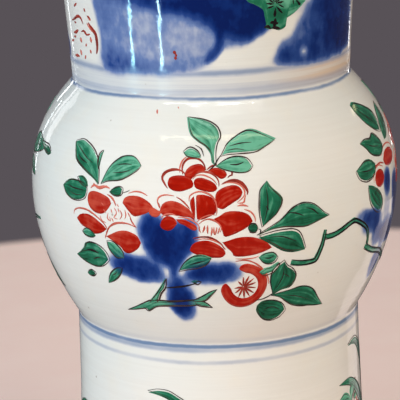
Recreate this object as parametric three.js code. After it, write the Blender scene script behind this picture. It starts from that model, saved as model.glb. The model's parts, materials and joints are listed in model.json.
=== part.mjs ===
// Gu vase: a tall porcelain beaker vase, thrown as three open sections and a base disc,
// which are joined with slip while leather-hard. Millimetres, +Z up.
// The origin is the middle of the standing ring, on the ground.
import * as THREE from "three";

// Heights of the thrown sections on the outside, from the ground up
const footHeight = 135;
const bellyHeight = 90;
const neckHeight = 175;

// Outer radii
const standingRadius = 70;
const footTopRadius = 54.7;
const bellyRadius = 70;
const neckRadius = 52.5;
const mouthRadius = 96;

// How the outlines swell: the widest level of the belly above its lower joint, how round it
// is above and below that level, and how the neck and the foot start to flare
const bellyWidestHeight = 48;
const upperBellyRoundness = 2.4;
const lowerBellyRoundness = 1.9;
const neckLean = 0.163;
const neckSweep = 0.413;
const neckTurnout = 5;
const footLean = 0.12;
const footTurnout = 3;

// Walls
const lipWall = 4;
const neckWall = 7;
const bellyWall = 6;
const footWall = 7;

// Foot and base
const standingBandHeight = 7;
const ringChamfer = 2;
const baseRecess = 6;
const baseThickness = 8;
const baseSeatWidth = 3.2;
const baseEdgeClearance = 0.4;

// Slip: the fired layer in each joint and the bead that it leaves on the inside
const slipThickness = 1.2;
const beadWidth = 1.6;
const beadHeight = 6;
const beadClearance = 0.4;

// Fineness of the round shapes
const sidesAround = 64;
const neckSteps = 14;
const bellySteps = 14;
const footSteps = 9;
const lipSteps = 6;

const lowerJoint = footHeight;
const upperJoint = footHeight + bellyHeight;
const mouthHeight = upperJoint + neckHeight;
const halfSlip = slipThickness / 2;

// Outer radius of the neck at a height above the ground: it is widest where the round lip starts
function neckOutside(height) {
  const t = (height - upperJoint) / (neckHeight - lipWall / 2);
  const lateFlare = 1 - neckLean - neckSweep;
  const flare = neckLean * t + neckSweep * t ** 2 + lateFlare * t ** neckTurnout;
  return neckRadius + (mouthRadius - neckRadius) * flare;
}

// Outer radius of the belly, which is widest at bellyWidestHeight above the lower joint
function bellyOutside(height) {
  const fromWidest = height - lowerJoint - bellyWidestHeight;
  if (fromWidest > 0) {
    const t = Math.min(fromWidest / (bellyHeight - bellyWidestHeight), 1);
    return bellyRadius - (bellyRadius - neckRadius) * t ** upperBellyRoundness;
  }
  const t = Math.min(-fromWidest / bellyWidestHeight, 1);
  return bellyRadius - (bellyRadius - footTopRadius) * t ** lowerBellyRoundness;
}

// Outer radius of the foot, which ends in an upright band at the ground
function footOutside(height) {
  const depth = Math.min(footHeight - height, footHeight - standingBandHeight);
  const t = depth / (footHeight - standingBandHeight);
  const flare = footLean * t + (1 - footLean) * t ** footTurnout;
  return footTopRadius + (standingRadius - footTopRadius) * flare;
}

// The inside of a wall: its thickness is measured square to the outside
function insideOf(outside, wallAt) {
  const probe = 0.5;
  return (height) => {
    const slope = (outside(height + probe) - outside(height - probe)) / (2 * probe);
    return outside(height) - wallAt(height) * Math.hypot(1, slope);
  };
}

const neckInside = insideOf(neckOutside, (height) => {
  const t = (height - upperJoint) / neckHeight;
  return neckWall + (lipWall - neckWall) * t;
});
const bellyInside = insideOf(bellyOutside, () => bellyWall);
const footInside = insideOf(footOutside, () => footWall);

// Points along an outline from one height to another
function along(outline, from, to, steps) {
  const points = [];
  for (let i = 0; i <= steps; i += 1) {
    const height = from + ((to - from) * i) / steps;
    points.push(new THREE.Vector2(outline(height), height));
  }
  return points;
}

// A turned solid from a profile of radius and height that goes up the outside and down the inside
function turned(name, profile, material) {
  const geometry = new THREE.LatheGeometry([...profile, profile[0]], sidesAround);
  geometry.rotateX(Math.PI / 2);
  const mesh = new THREE.Mesh(geometry, material);
  mesh.name = name;
  return mesh;
}

const glazedPorcelain = new THREE.MeshStandardMaterial({ color: 0xe8e6de, roughness: 0.12, metalness: 0 });
const barePorcelain = new THREE.MeshStandardMaterial({ color: 0xdccfb8, roughness: 0.75, metalness: 0 });
const firedSlip = new THREE.MeshStandardMaterial({ color: 0xd9d3c6, roughness: 0.55, metalness: 0 });

// Neck: a trumpet whose rounded lip is a half circle across the wall
function neckSection() {
  const lipRadius = lipWall / 2;
  const bottom = upperJoint + halfSlip;
  const lipBase = mouthHeight - lipRadius;
  const lipCentre = mouthRadius - lipRadius;
  const outside = along(neckOutside, bottom, lipBase, neckSteps);
  const lip = [];
  for (let i = 1; i <= lipSteps; i += 1) {
    const angle = (Math.PI * i) / lipSteps;
    const radius = lipCentre + lipRadius * Math.cos(angle);
    lip.push(new THREE.Vector2(radius, lipBase + lipRadius * Math.sin(angle)));
  }
  const inside = along(neckInside, lipBase, bottom, neckSteps).slice(1);
  return turned("neck_section", [...outside, ...lip, ...inside], glazedPorcelain);
}

// Belly: the swelling middle section, cut flat at both joints
function bellySection() {
  const bottom = lowerJoint + halfSlip;
  const top = upperJoint - halfSlip;
  const outside = along(bellyOutside, bottom, top, bellySteps);
  const inside = along(bellyInside, top, bottom, bellySteps);
  return turned("belly_section", [...outside, ...inside], glazedPorcelain);
}

// The seat of the base disc: an upright wall below the inside of the foot, and a ledge
const discTop = baseRecess + slipThickness + baseThickness;
const seatWall = footInside(discTop);
const discRadius = seatWall - baseEdgeClearance;
const ringInside = discRadius - baseSeatWidth;

// Foot: a splayed stage on a bevelled standing ring, with a seat for the base disc inside
function footSection() {
  const top = lowerJoint - halfSlip;
  const profile = [
    new THREE.Vector2(ringInside + ringChamfer, 0),
    new THREE.Vector2(standingRadius - ringChamfer, 0),
    new THREE.Vector2(standingRadius, ringChamfer),
    ...along(footOutside, standingBandHeight, top, footSteps),
    ...along(footInside, top, discTop, footSteps),
    new THREE.Vector2(seatWall, baseRecess),
    new THREE.Vector2(ringInside, baseRecess),
    new THREE.Vector2(ringInside, ringChamfer),
  ];
  return turned("foot_section", profile, glazedPorcelain);
}

// Base: a disc that lies on the seat inside the standing ring
function baseDisc() {
  const underside = baseRecess + slipThickness;
  const profile = [
    new THREE.Vector2(0, underside),
    new THREE.Vector2(discRadius, underside),
    new THREE.Vector2(discRadius, discTop),
    new THREE.Vector2(0, discTop),
  ];
  const geometry = new THREE.LatheGeometry(profile, sidesAround);
  geometry.rotateX(Math.PI / 2);
  const mesh = new THREE.Mesh(geometry, barePorcelain);
  mesh.name = "base_disc";
  return mesh;
}

// Slip in the joint of two sections: a thin flat ring with a bead on the inside of the vase
function slipSeam(name, joint, outerRadius, insideAbove, insideBelow) {
  const bottom = joint - halfSlip;
  const top = joint + halfSlip;
  const wallRadius = Math.min(insideAbove(top), insideBelow(bottom));
  const beadTop = joint + beadHeight / 2;
  const beadBottom = joint - beadHeight / 2;
  const beadBack = Math.min(wallRadius, insideAbove(beadTop), insideBelow(beadBottom)) - beadClearance;
  const beadFace = beadBack - beadWidth;
  const bevel = beadWidth / 2;
  const profile = [
    new THREE.Vector2(outerRadius, bottom),
    new THREE.Vector2(outerRadius, top),
    new THREE.Vector2(beadBack, top),
    new THREE.Vector2(beadBack, beadTop),
    new THREE.Vector2(beadFace + bevel, beadTop),
    new THREE.Vector2(beadFace, beadTop - bevel),
    new THREE.Vector2(beadFace, beadBottom + bevel),
    new THREE.Vector2(beadFace + bevel, beadBottom),
    new THREE.Vector2(beadBack, beadBottom),
    new THREE.Vector2(beadBack, bottom),
  ];
  return turned(name, profile, firedSlip);
}

// Slip under the rim of the base disc
function baseSeam() {
  const profile = [
    new THREE.Vector2(ringInside, baseRecess),
    new THREE.Vector2(discRadius, baseRecess),
    new THREE.Vector2(discRadius, baseRecess + slipThickness),
    new THREE.Vector2(ringInside, baseRecess + slipThickness),
  ];
  return turned("base_slip_seam", profile, firedSlip);
}

const vase = new THREE.Group();
vase.name = "gu_vase";
vase.add(
  neckSection(),
  bellySection(),
  footSection(),
  baseDisc(),
  slipSeam("neck_slip_seam", upperJoint, neckRadius, neckInside, bellyInside),
  slipSeam("foot_slip_seam", lowerJoint, footTopRadius, bellyInside, footInside),
  baseSeam(),
);

export default vase;
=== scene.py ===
import json
import math
import bmesh
import bpy
import numpy as np
from mathutils import Matrix, Vector, noise

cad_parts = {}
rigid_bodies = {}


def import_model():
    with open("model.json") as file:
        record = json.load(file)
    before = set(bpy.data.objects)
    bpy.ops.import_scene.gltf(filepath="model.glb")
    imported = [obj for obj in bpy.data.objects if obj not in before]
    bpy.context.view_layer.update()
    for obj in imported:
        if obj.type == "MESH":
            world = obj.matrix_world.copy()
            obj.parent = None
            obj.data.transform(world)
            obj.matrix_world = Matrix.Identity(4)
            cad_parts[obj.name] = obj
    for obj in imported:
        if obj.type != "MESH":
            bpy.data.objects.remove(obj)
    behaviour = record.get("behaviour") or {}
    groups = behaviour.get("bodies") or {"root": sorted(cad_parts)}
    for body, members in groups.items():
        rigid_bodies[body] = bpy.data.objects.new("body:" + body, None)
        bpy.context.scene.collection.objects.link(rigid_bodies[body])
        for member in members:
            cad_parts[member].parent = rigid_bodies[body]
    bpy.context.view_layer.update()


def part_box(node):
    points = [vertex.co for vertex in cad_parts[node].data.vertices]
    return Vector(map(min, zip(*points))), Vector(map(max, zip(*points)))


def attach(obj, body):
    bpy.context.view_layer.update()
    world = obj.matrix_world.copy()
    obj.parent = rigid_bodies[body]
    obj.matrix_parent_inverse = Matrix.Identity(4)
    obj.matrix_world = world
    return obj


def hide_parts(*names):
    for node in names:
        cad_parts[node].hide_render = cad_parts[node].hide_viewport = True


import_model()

# A gu vase in porcelain, painted under the glaze in cobalt and over it in green, iron red and brown.
# Sizes are in millimetres until a point is written to a mesh, and in metres from there on.
# A place on the wall is (round, height): millimetres round the widest circle of the belly from
# the front, positive to the right, and millimetres above the ground.

print("stage: sizes from the frame")
mm = 0.001                        # a millimetre in metres


def boxOf(node):
    low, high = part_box(node)
    return low / mm, high / mm


neckLow, neckHigh = boxOf("neck_section")
bellyLow, bellyHigh = boxOf("belly_section")
footHigh = boxOf("foot_section")[1]
discLow, discHigh = boxOf("base_disc")
neckSlipLow, neckSlipHigh = boxOf("neck_slip_seam")
footSlipLow, footSlipHigh = boxOf("foot_slip_seam")
baseSlipLow, baseSlipHigh = boxOf("base_slip_seam")

form = {
    "bellyWidest": 48.0,          # above the lower joint
    "upperRoundness": 2.4,
    "lowerRoundness": 1.9,
    "neckLean": 0.163,
    "neckSweep": 0.413,
    "neckTurnout": 5.0,
    "footLean": 0.12,
    "footTurnout": 3.0,
    "standingBand": 7.0,
    "lipWall": 4.0,
    "neckWall": 7.0,
    "bellyWall": 6.0,
    "footWall": 7.0,
    "glazeCoat": 0.8,             # how far the slip lies behind the glazed face
    "slipGap": 0.3,               # and clear of the back of that coat
    "crease": 0.7,                # half height of the glaze that fills the corner at a joint
    "upperCorner": 1.04,          # how sharply the walls meet at each joint
    "lowerCorner": 0.62,
    "ringRounding": 2.0,
    "baseEdgeClearance": 0.4,
    "baseSeatWidth": 3.2,
    "beadWidth": 1.6,
    "beadClearance": 0.4,
    "seatBead": 0.6,              # how far the slip under the base bulges inwards
    "discRounding": 0.8,
}
upperJoint = (neckLow.z + bellyHigh.z) / 2
lowerJoint = (bellyLow.z + footHigh.z) / 2
halfSlip = (neckLow.z - bellyHigh.z) / 2
mouthHeight = neckHigh.z
mouthRadius = neckHigh.x
neckRadius = neckSlipHigh.x
bellyRadius = bellyHigh.x
footTopRadius = footSlipHigh.x
standingRadius = footHigh.x
lipRadius = form["lipWall"] / 2
roundScale = 70.0                 # the circle that the painting is measured round
wayRound = 2 * math.pi * roundScale


def neckOutside(height):
    t = (height - upperJoint) / (mouthHeight - lipRadius - upperJoint)
    late = 1 - form["neckLean"] - form["neckSweep"]
    flare = form["neckLean"] * t + form["neckSweep"] * t ** 2 + late * t ** form["neckTurnout"]
    return neckRadius + (mouthRadius - neckRadius) * flare


def bellyOutside(height):
    rise = height - lowerJoint - form["bellyWidest"]
    if rise > 0:
        t = min(rise / (upperJoint - lowerJoint - form["bellyWidest"]), 1)
        return bellyRadius - (bellyRadius - neckRadius) * t ** form["upperRoundness"]
    t = min(-rise / form["bellyWidest"], 1)
    return bellyRadius - (bellyRadius - footTopRadius) * t ** form["lowerRoundness"]


def footOutside(height):
    span = lowerJoint - form["standingBand"]
    t = min(lowerJoint - height, span) / span
    flare = form["footLean"] * t + (1 - form["footLean"]) * t ** form["footTurnout"]
    return footTopRadius + (standingRadius - footTopRadius) * flare


def insideOf(outside, wall):
    # The wall's thickness is measured square to the outside
    probe = 0.5

    def radius(height):
        slope = (outside(height + probe) - outside(height - probe)) / (2 * probe)
        return outside(height) - wall(height) * math.hypot(1, slope)
    return radius


def neckWallAt(height):
    t = (height - upperJoint) / (mouthHeight - upperJoint)
    return form["neckWall"] + (form["lipWall"] - form["neckWall"]) * t


neckInside = insideOf(neckOutside, neckWallAt)
bellyInside = insideOf(bellyOutside, lambda height: form["bellyWall"])
footInside = insideOf(footOutside, lambda height: form["footWall"])


def glazedRadius(height):
    if height > upperJoint:
        radius = neckOutside(height)
    elif height > lowerJoint:
        radius = bellyOutside(height)
    else:
        radius = footOutside(height)
    reach = form["crease"]
    for joint, corner in ((upperJoint, form["upperCorner"]), (lowerJoint, form["lowerCorner"])):
        radius += corner / (4 * reach) * max(0, reach - abs(height - joint)) ** 2
    return radius


# How the thrown wall strays from a true circle
thrown = {
    "in": 0.11,                   # it lies this far inside the circle
    "slow": 0.05,
    "slowWaves": ((1.0, 2, 0.8, 0.011), (0.6, 3, -1.7, -0.017)),    # share, times round, start, lean
    "rings": 0.012,
    "ringWaves": ((1.0, 0.83, 0.7, 1), (0.5, 1.91, 1.0, 2)),        # share, pitch, sway, times round
    "trueFoot": (3, 10),          # true this far from an end, and free after the second length
    "trueLip": (2, 12),
}


def thrownOff(angle, height):
    slow = sum(
        share * np.sin(times * angle + start + height * lean)
        for share, times, start, lean in thrown["slowWaves"]
    )
    rings = sum(
        share * np.sin(height * pitch + sway * np.sin(times * angle))
        for share, pitch, sway, times in thrown["ringWaves"]
    )
    footTrue, footFree = thrown["trueFoot"]
    lipTrue, lipFree = thrown["trueLip"]
    free = np.clip((height - footTrue) / footFree, 0, 1)
    free = free * np.clip((mouthHeight - lipTrue - height) / lipFree, 0, 1)
    return -(thrown["in"] + thrown["slow"] * slow + thrown["rings"] * rings) * free


def onWall(place, lift):
    angle = place[0] / roundScale
    radius = glazedRadius(place[1]) + float(thrownOff(angle, place[1])) + lift
    return Vector((radius * math.sin(angle), -radius * math.cos(angle), place[1])) * mm


print("stage: materials")


def paint(red, green, blue):
    # A colour as a screen shows it, made linear for the shaders
    channels = [c / 255 for c in (red, green, blue)]
    linear = [c / 12.92 if c <= 0.04045 else ((c + 0.055) / 1.055) ** 2.4 for c in channels]
    return (*linear, 1.0)


def addNode(tree, kind, inputs=None, **settings):
    made = tree.nodes.new(kind)
    for name, value in settings.items():
        setattr(made, name, value)
    for name, value in (inputs or {}).items():
        if isinstance(value, bpy.types.NodeSocket):
            tree.links.new(value, made.inputs[name])
        else:
            made.inputs[name].default_value = value
    return made


def maths(tree, operation, first, second=0.0, third=0.0):
    inputs = {0: first, 1: second, 2: third}
    return addNode(tree, "ShaderNodeMath", inputs, operation=operation).outputs[0]


def product(tree, first, second):
    return maths(tree, "MULTIPLY", first, second)


def added(tree, value, share, base):
    # A share of one value on top of another
    return maths(tree, "MULTIPLY_ADD", value, share, base)


def vectorMaths(tree, operation, first, second):
    return addNode(tree, "ShaderNodeVectorMath", {0: first, 1: second}, operation=operation).outputs[0]


def mixed(tree, mask, under, over):
    inputs = {0: mask, 6: under, 7: over}
    return addNode(tree, "ShaderNodeMix", inputs, data_type="RGBA").outputs[2]


def tinted(tree, colour, mask, share, tint):
    return mixed(tree, product(tree, mask, share), colour, tint)


def stepped(tree, value, low, high):
    inputs = {"Value": value, "From Min": low, "From Max": high}
    return addNode(tree, "ShaderNodeMapRange", inputs, interpolation_type="SMOOTHSTEP").outputs[0]


def ramped(tree, value, thin, between, full):
    ramp = addNode(tree, "ShaderNodeValToRGB", {"Fac": value})
    stops = ramp.color_ramp.elements
    stops[0].color = thin
    stops[1].color = full
    for position, colour in between:
        stops.new(position).color = colour
    return ramp.outputs["Color"]


def onObject(tree):
    return addNode(tree, "ShaderNodeTexCoord").outputs["Object"]


def attribute(tree, name):
    return addNode(tree, "ShaderNodeAttribute", attribute_name=name).outputs["Fac"]


def noisy(tree, place, scale, detail):
    inputs = {"Vector": place, "Scale": scale, "Detail": detail}
    return addNode(tree, "ShaderNodeTexNoise", inputs).outputs["Fac"]


def cells(tree, place, scale):
    return addNode(tree, "ShaderNodeTexVoronoi", {"Vector": place, "Scale": scale}).outputs


def newGroup(name, inputs, output):
    group = bpy.data.node_groups.new(name, "ShaderNodeTree")
    for label, value in inputs.items():
        socket = group.interface.new_socket(name=label, in_out="INPUT", socket_type="NodeSocketFloat")
        socket.default_value = value
    group.interface.new_socket(name=output, in_out="OUTPUT", socket_type="NodeSocketFloat")
    start = group.nodes.new("NodeGroupInput").outputs
    end = group.nodes.new("NodeGroupOutput").inputs
    return group, start, end


def placed(tree, group, inputs):
    return addNode(tree, "ShaderNodeGroup", inputs, node_tree=group).outputs[0]


# Soft patches of more and less, as in glaze, pigment and enamel that lie unevenly
cloudGroup, start, end = newGroup(
    "unevenCoat", {"Scale": 100.0, "Stretch": 1.0, "Low": 0.35, "High": 0.65, "Detail": 3.0}, "Amount",
)
stretch = addNode(cloudGroup, "ShaderNodeCombineXYZ", {0: 1.0, 1: 1.0, 2: start["Stretch"]})
place = vectorMaths(cloudGroup, "MULTIPLY", onObject(cloudGroup), stretch.outputs[0])
cloud = noisy(cloudGroup, place, start["Scale"], start["Detail"])
cloudGroup.links.new(stepped(cloudGroup, cloud, start["Low"], start["High"]), end["Amount"])


def patchy(tree, scale, low, high, stretch=1.0):
    inputs = {"Scale": scale, "Low": low, "High": high, "Stretch": stretch}
    return placed(tree, cloudGroup, inputs)


# Fine rings of the throwing, the ripple of a thick glaze and a few pinholes
reliefLook = {
    "ringFineness": (18.0, 18.0, 900.0),      # along the wall and up it
    "rippleFineness": 260.0,
    "pinholeFineness": 130.0,
    "pinholeReach": 0.075,
}
reliefGroup, start, end = newGroup("glazeRelief", {"Rings": 0.5, "Ripple": 0.5, "Pinholes": 0.3}, "Height")
place = onObject(reliefGroup)
squashed = vectorMaths(reliefGroup, "MULTIPLY", place, reliefLook["ringFineness"])
rings = noisy(reliefGroup, squashed, 1.0, 2.0)
ripple = noisy(reliefGroup, place, reliefLook["rippleFineness"], 2.5)
pits = cells(reliefGroup, place, reliefLook["pinholeFineness"])["Distance"]
pits = stepped(reliefGroup, pits, 0.0, reliefLook["pinholeReach"])
pits = maths(reliefGroup, "SUBTRACT", pits, 1.0)
height = product(reliefGroup, rings, start["Rings"])
height = added(reliefGroup, ripple, start["Ripple"], height)
height = added(reliefGroup, pits, start["Pinholes"], height)
reliefGroup.links.new(height, end["Height"])

# A line painted round the pot on the wheel: it wanders a little and thins where the brush ran dry
lineLook = {
    "flat": (1.0, 1.0, 0.05),                 # it changes round the pot and hardly up it
    "wander": 0.0016,
    "wanderFineness": 22.0,
    "tremble": 0.0004,
    "trembleFineness": 300.0,
    "dryFineness": 46.0,
    "dryRange": (0.2, 0.62),
    "dryShare": 0.3,
    "edge": (1.0, -0.3),                      # in softnesses outside the line: from none to full
}
lineGroup, start, end = newGroup(
    "wheelLine",
    {"Height": 0.225, "Half width": 0.0005, "Softness": 0.0006, "Strength": 1.0, "Seed": 0.0}, "Mask",
)
place = onObject(lineGroup)
height = addNode(lineGroup, "ShaderNodeSeparateXYZ", {0: place}).outputs["Z"]
moved = vectorMaths(lineGroup, "ADD", place, start["Seed"])
flat = vectorMaths(lineGroup, "MULTIPLY", moved, lineLook["flat"])
drift = noisy(lineGroup, flat, lineLook["wanderFineness"], 1.0)
drift = added(lineGroup, drift, lineLook["wander"], -lineLook["wander"] / 2)
tremble = noisy(lineGroup, moved, lineLook["trembleFineness"], 2.0)
drift = added(lineGroup, tremble, lineLook["tremble"], drift)
away = maths(lineGroup, "SUBTRACT", height, start["Height"])
away = maths(lineGroup, "ABSOLUTE", maths(lineGroup, "ADD", away, drift))
past = maths(lineGroup, "SUBTRACT", away, start["Half width"])
body = stepped(lineGroup, maths(lineGroup, "DIVIDE", past, start["Softness"]), *lineLook["edge"])
dry = stepped(lineGroup, noisy(lineGroup, flat, lineLook["dryFineness"], 3.0), *lineLook["dryRange"])
dry = added(lineGroup, dry, lineLook["dryShare"], 1 - lineLook["dryShare"])
mask = product(lineGroup, product(lineGroup, body, dry), start["Strength"])
lineGroup.links.new(mask, end["Mask"])


def newMaterial(name, roughness):
    material = bpy.data.materials.new(name)
    material.use_nodes = True
    tree = material.node_tree
    shader = tree.nodes["Principled BSDF"]
    shader.inputs["Roughness"].default_value = roughness
    return material, tree, shader


def relief(tree, shader, rings, ripple, pinholes, strength, distance):
    height = placed(tree, reliefGroup, {"Rings": rings, "Ripple": ripple, "Pinholes": pinholes})
    bump = addNode(tree, "ShaderNodeBump", {"Height": height, "Strength": strength, "Distance": distance})
    tree.links.new(bump.outputs["Normal"], shader.inputs["Normal"])


glazeLook = {
    "white": paint(227, 226, 221),
    "cool": paint(212, 221, 217),
    "coolShare": 0.5,
    "coolCloud": (14.0, 0.3, 0.7),                # fineness, where it starts and where it is full
    "warm": paint(230, 219, 198),
    "warmShare": 0.22,
    "warmCloud": (90.0, 0.45, 0.8),
    "film": paint(208, 205, 199),
    "filmShare": 0.12,
    "turnedCloud": (16.0, 0.35, 0.65, 60.0),      # and how much finer it is up the wall
    "band": paint(190, 195, 203),
    "bandRise": (0.5, 2),         # above the upper joint: from none to full
    "bandFall": (12, 8),
    "bandShare": 0.35,
    "bandStreaks": 0.4,
    # painted reflection: a warm brown patch on the right end of the band above the upper joint, standing in
    # for warm light mirrored in the glaze
    "paintedReflection": paint(208, 188, 166),
    "paintedReflectionShare": 1.3,
    "paintedReflectionStart": (16, 44),       # where the painted reflection starts and where it is full, to the right of the axis
    "speck": paint(120, 92, 70),
    "speckShare": 0.55,
    "speckFineness": 85.0,
    "speckSize": (0.05, 0.02),
    "speckRarity": 0.86,
    "washPale": paint(160, 170, 200),
    "washLight": paint(100, 124, 174),
    "washMid": paint(38, 68, 134),
    "washDeep": paint(12, 42, 108),
    "washDark": paint(6, 28, 88),
    "washShare": 0.75,
    "washGrain": 0.22,
    "grainCloud": (420.0, 0.3, 0.75, 0.6),
    "washPools": 0.28,
    "poolCloud": (95.0, 0.3, 0.7),
    "washCover": (0.02, 0.3),     # from lines alone to washes alone
    "pigmentCover": (0.01, 0.34),
    "lineInk": paint(108, 132, 164),
    "lineThinness": 3.0,
    "lineStrength": 0.5,
    "bare": paint(214, 196, 168),
    "bareTop": (2.6, 1.9),        # above the ground: from none to full
    "bareWander": 1.4,
    "bareCloud": (60.0, 0.2, 0.8),
    "burnt": paint(176, 120, 74),
    "burntTop": (4.2, 2.4),
    "burntShare": 0.75,
    "roughness": 0.06,
    "bareRoughness": 0.6,
    "bandRoughness": 0.22,
    "specular": 0.36,
    "ringsFoot": 0.45,            # how deep the throwing rings show on each section
    "ringsBelly": 0.15,
    "ringsNeck": 0.8,
    "bellyRise": (4, 24),         # above each joint: from the rings below it to those above
    "neckRise": (-1, 3),
}

# Height, half width, softness and strength of each line painted round the pot, in millimetres. The faint
# wide one just above the lower joint is partly painted shade on the belly's underside.
wheelLinesAndShade = (
    (mouthHeight - 6.5, 0.5, 0.5, 0.75),
    (mouthHeight - 9.5, 0.35, 0.5, 0.6),
    (upperJoint + 9.0, 0.7, 1.5, 0.46),
    (upperJoint + 2.1, 1.1, 1.8, 0.31),
    (upperJoint + 0.1, 0.3, 1.0, 0.62),
    (lowerJoint - 1.2, 0.5, 1.0, 0.66),
    (lowerJoint - 1.9, 0.9, 1.4, 0.44),
    (lowerJoint - 6.8, 0.5, 1.2, 0.34),
    # painted shade, partly cobalt smear: a faint soft band that darkens the belly's downward-facing
    # underside just above the lower joint
    (lowerJoint + 1.2, 0.4, 2.6, 0.2),
    (13.5, 0.45, 0.5, 0.7),
    (10.5, 0.4, 0.5, 0.6),
)
lineSeed = 3.7                    # from one line to the next


def lineAndShadeMask(tree):
    linedAndShaded = 0.0
    for number, (height, halfWidth, softness, strength) in enumerate(wheelLinesAndShade):
        line = placed(tree, lineGroup, {
            "Height": height * mm, "Half width": halfWidth * mm, "Softness": softness * mm,
            "Strength": strength * glazeLook["lineStrength"], "Seed": number * lineSeed,
        })
        linedAndShaded = maths(tree, "MAXIMUM", linedAndShaded, line)
    return linedAndShaded


def glazedMaterial(look):
    material, tree, shader = newMaterial("glazedPorcelain", look["roughness"])
    position = onObject(tree)
    parts = addNode(tree, "ShaderNodeSeparateXYZ", {0: position}).outputs
    height = parts["Z"]

    def rising(base, levels):
        return stepped(tree, height, (base + levels[0]) * mm, (base + levels[1]) * mm)

    colour = tinted(tree, look["white"], patchy(tree, *look["coolCloud"]), look["coolShare"], look["cool"])
    colour = tinted(tree, colour, patchy(tree, *look["warmCloud"]), look["warmShare"], look["warm"])
    turned = patchy(tree, *look["turnedCloud"])
    colour = tinted(tree, colour, turned, look["filmShare"], look["film"])

    # the greyer glaze in the band above the upper joint, and a painted reflection at its right: warm brown
    # laid where the glaze mirrors warm light
    band = product(tree, rising(upperJoint, look["bandRise"]), rising(upperJoint, look["bandFall"]))
    streaked = product(tree, band, added(tree, turned, look["bandStreaks"], look["bandShare"]))
    colour = mixed(tree, streaked, colour, look["band"])
    reflectionMask = stepped(tree, parts["X"], *(edge * mm for edge in look["paintedReflectionStart"]))
    reflectionMask = product(tree, streaked, reflectionMask)
    colour = tinted(tree, colour, reflectionMask, look["paintedReflectionShare"], look["paintedReflection"])

    # iron specks
    specks = cells(tree, position, look["speckFineness"])
    dots = stepped(tree, specks["Distance"], *look["speckSize"])
    pick = addNode(tree, "ShaderNodeSeparateXYZ", {0: specks["Color"]}).outputs["X"]
    dots = product(tree, dots, maths(tree, "GREATER_THAN", pick, look["speckRarity"]))
    colour = tinted(tree, colour, dots, look["speckShare"], look["speck"])

    # cobalt: the washes come with the mesh, the wheel lines by height, and with them a band of painted
    # shade above the lower joint
    wash = attribute(tree, "cobalt")
    uneven = added(tree, patchy(tree, *look["grainCloud"]), look["washGrain"], look["washShare"])
    uneven = added(tree, patchy(tree, *look["poolCloud"]), look["washPools"], uneven)
    linedAndShaded = lineAndShadeMask(tree)
    pigment = maths(tree, "MAXIMUM", product(tree, wash, uneven), linedAndShaded)
    blues = ((0.3, look["washLight"]), (0.55, look["washMid"]), (0.8, look["washDeep"]))
    blue = ramped(tree, pigment, look["washPale"], blues, look["washDark"])
    thinned = tinted(tree, blue, linedAndShaded, look["lineThinness"], look["lineInk"])
    ink = mixed(tree, stepped(tree, wash, *look["washCover"]), thinned, blue)
    colour = mixed(tree, stepped(tree, pigment, *look["pigmentCover"]), colour, ink)

    # no glaze on the standing ring: bare body with a burnt line where the glaze stops
    level = added(tree, patchy(tree, *look["bareCloud"]), -look["bareWander"] * mm, height)
    bare, burnt = (
        stepped(tree, level, look[name][0] * mm, look[name][1] * mm) for name in ("bareTop", "burntTop")
    )
    colour = tinted(tree, colour, burnt, look["burntShare"], look["burnt"])
    colour = mixed(tree, bare, colour, look["bare"])
    tree.links.new(colour, shader.inputs["Base Color"])
    rough = added(tree, bare, look["bareRoughness"], look["roughness"])
    rough = added(tree, band, look["bandRoughness"], rough)
    tree.links.new(rough, shader.inputs["Roughness"])
    shader.inputs["Specular IOR Level"].default_value = look["specular"]
    upFromFoot = rising(lowerJoint, look["bellyRise"])
    upFromBelly = rising(upperJoint, look["neckRise"])
    rings = added(tree, upFromFoot, look["ringsBelly"] - look["ringsFoot"], look["ringsFoot"])
    rings = added(tree, upFromBelly, look["ringsNeck"] - look["ringsBelly"], rings)
    relief(tree, shader, rings=rings, ripple=0.35, pinholes=0.5, strength=0.35, distance=0.0004)
    return material


plainLook = {
    "patches": (0.3, 0.7),
    "grainCloud": (900.0, 0.35, 0.7),
}


def plainMaterial(name, look):
    material, tree, shader = newMaterial(name, look["roughness"])
    colour = mixed(tree, patchy(tree, look["patch"], *plainLook["patches"]), look["colour"], look["shade"])
    grain = patchy(tree, *plainLook["grainCloud"])
    colour = tinted(tree, colour, grain, look["grainShare"], look["grain"])
    tree.links.new(colour, shader.inputs["Base Color"])
    relief(tree, shader, rings=0.5, ripple=1.0, pinholes=0.6, strength=0.5, distance=0.0004)
    return material


paintLayers = ("across", "along", "tone")     # where a point lies in its stroke, and how dark that is
enamelLook = {
    "poolShare": 0.28,
    "poolCloud": (170.0, 0.3, 0.7),
    "strokeShare": 0.16,
    "strokeCloud": (520.0, 0.3, 0.75, 0.5),
    "streakRange": (0.3, 0.7),
    "streakFineness": {"along": 1.4, "across": 3.2, "tone": 23.0},
    "middleAt": 0.45,
}


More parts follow.
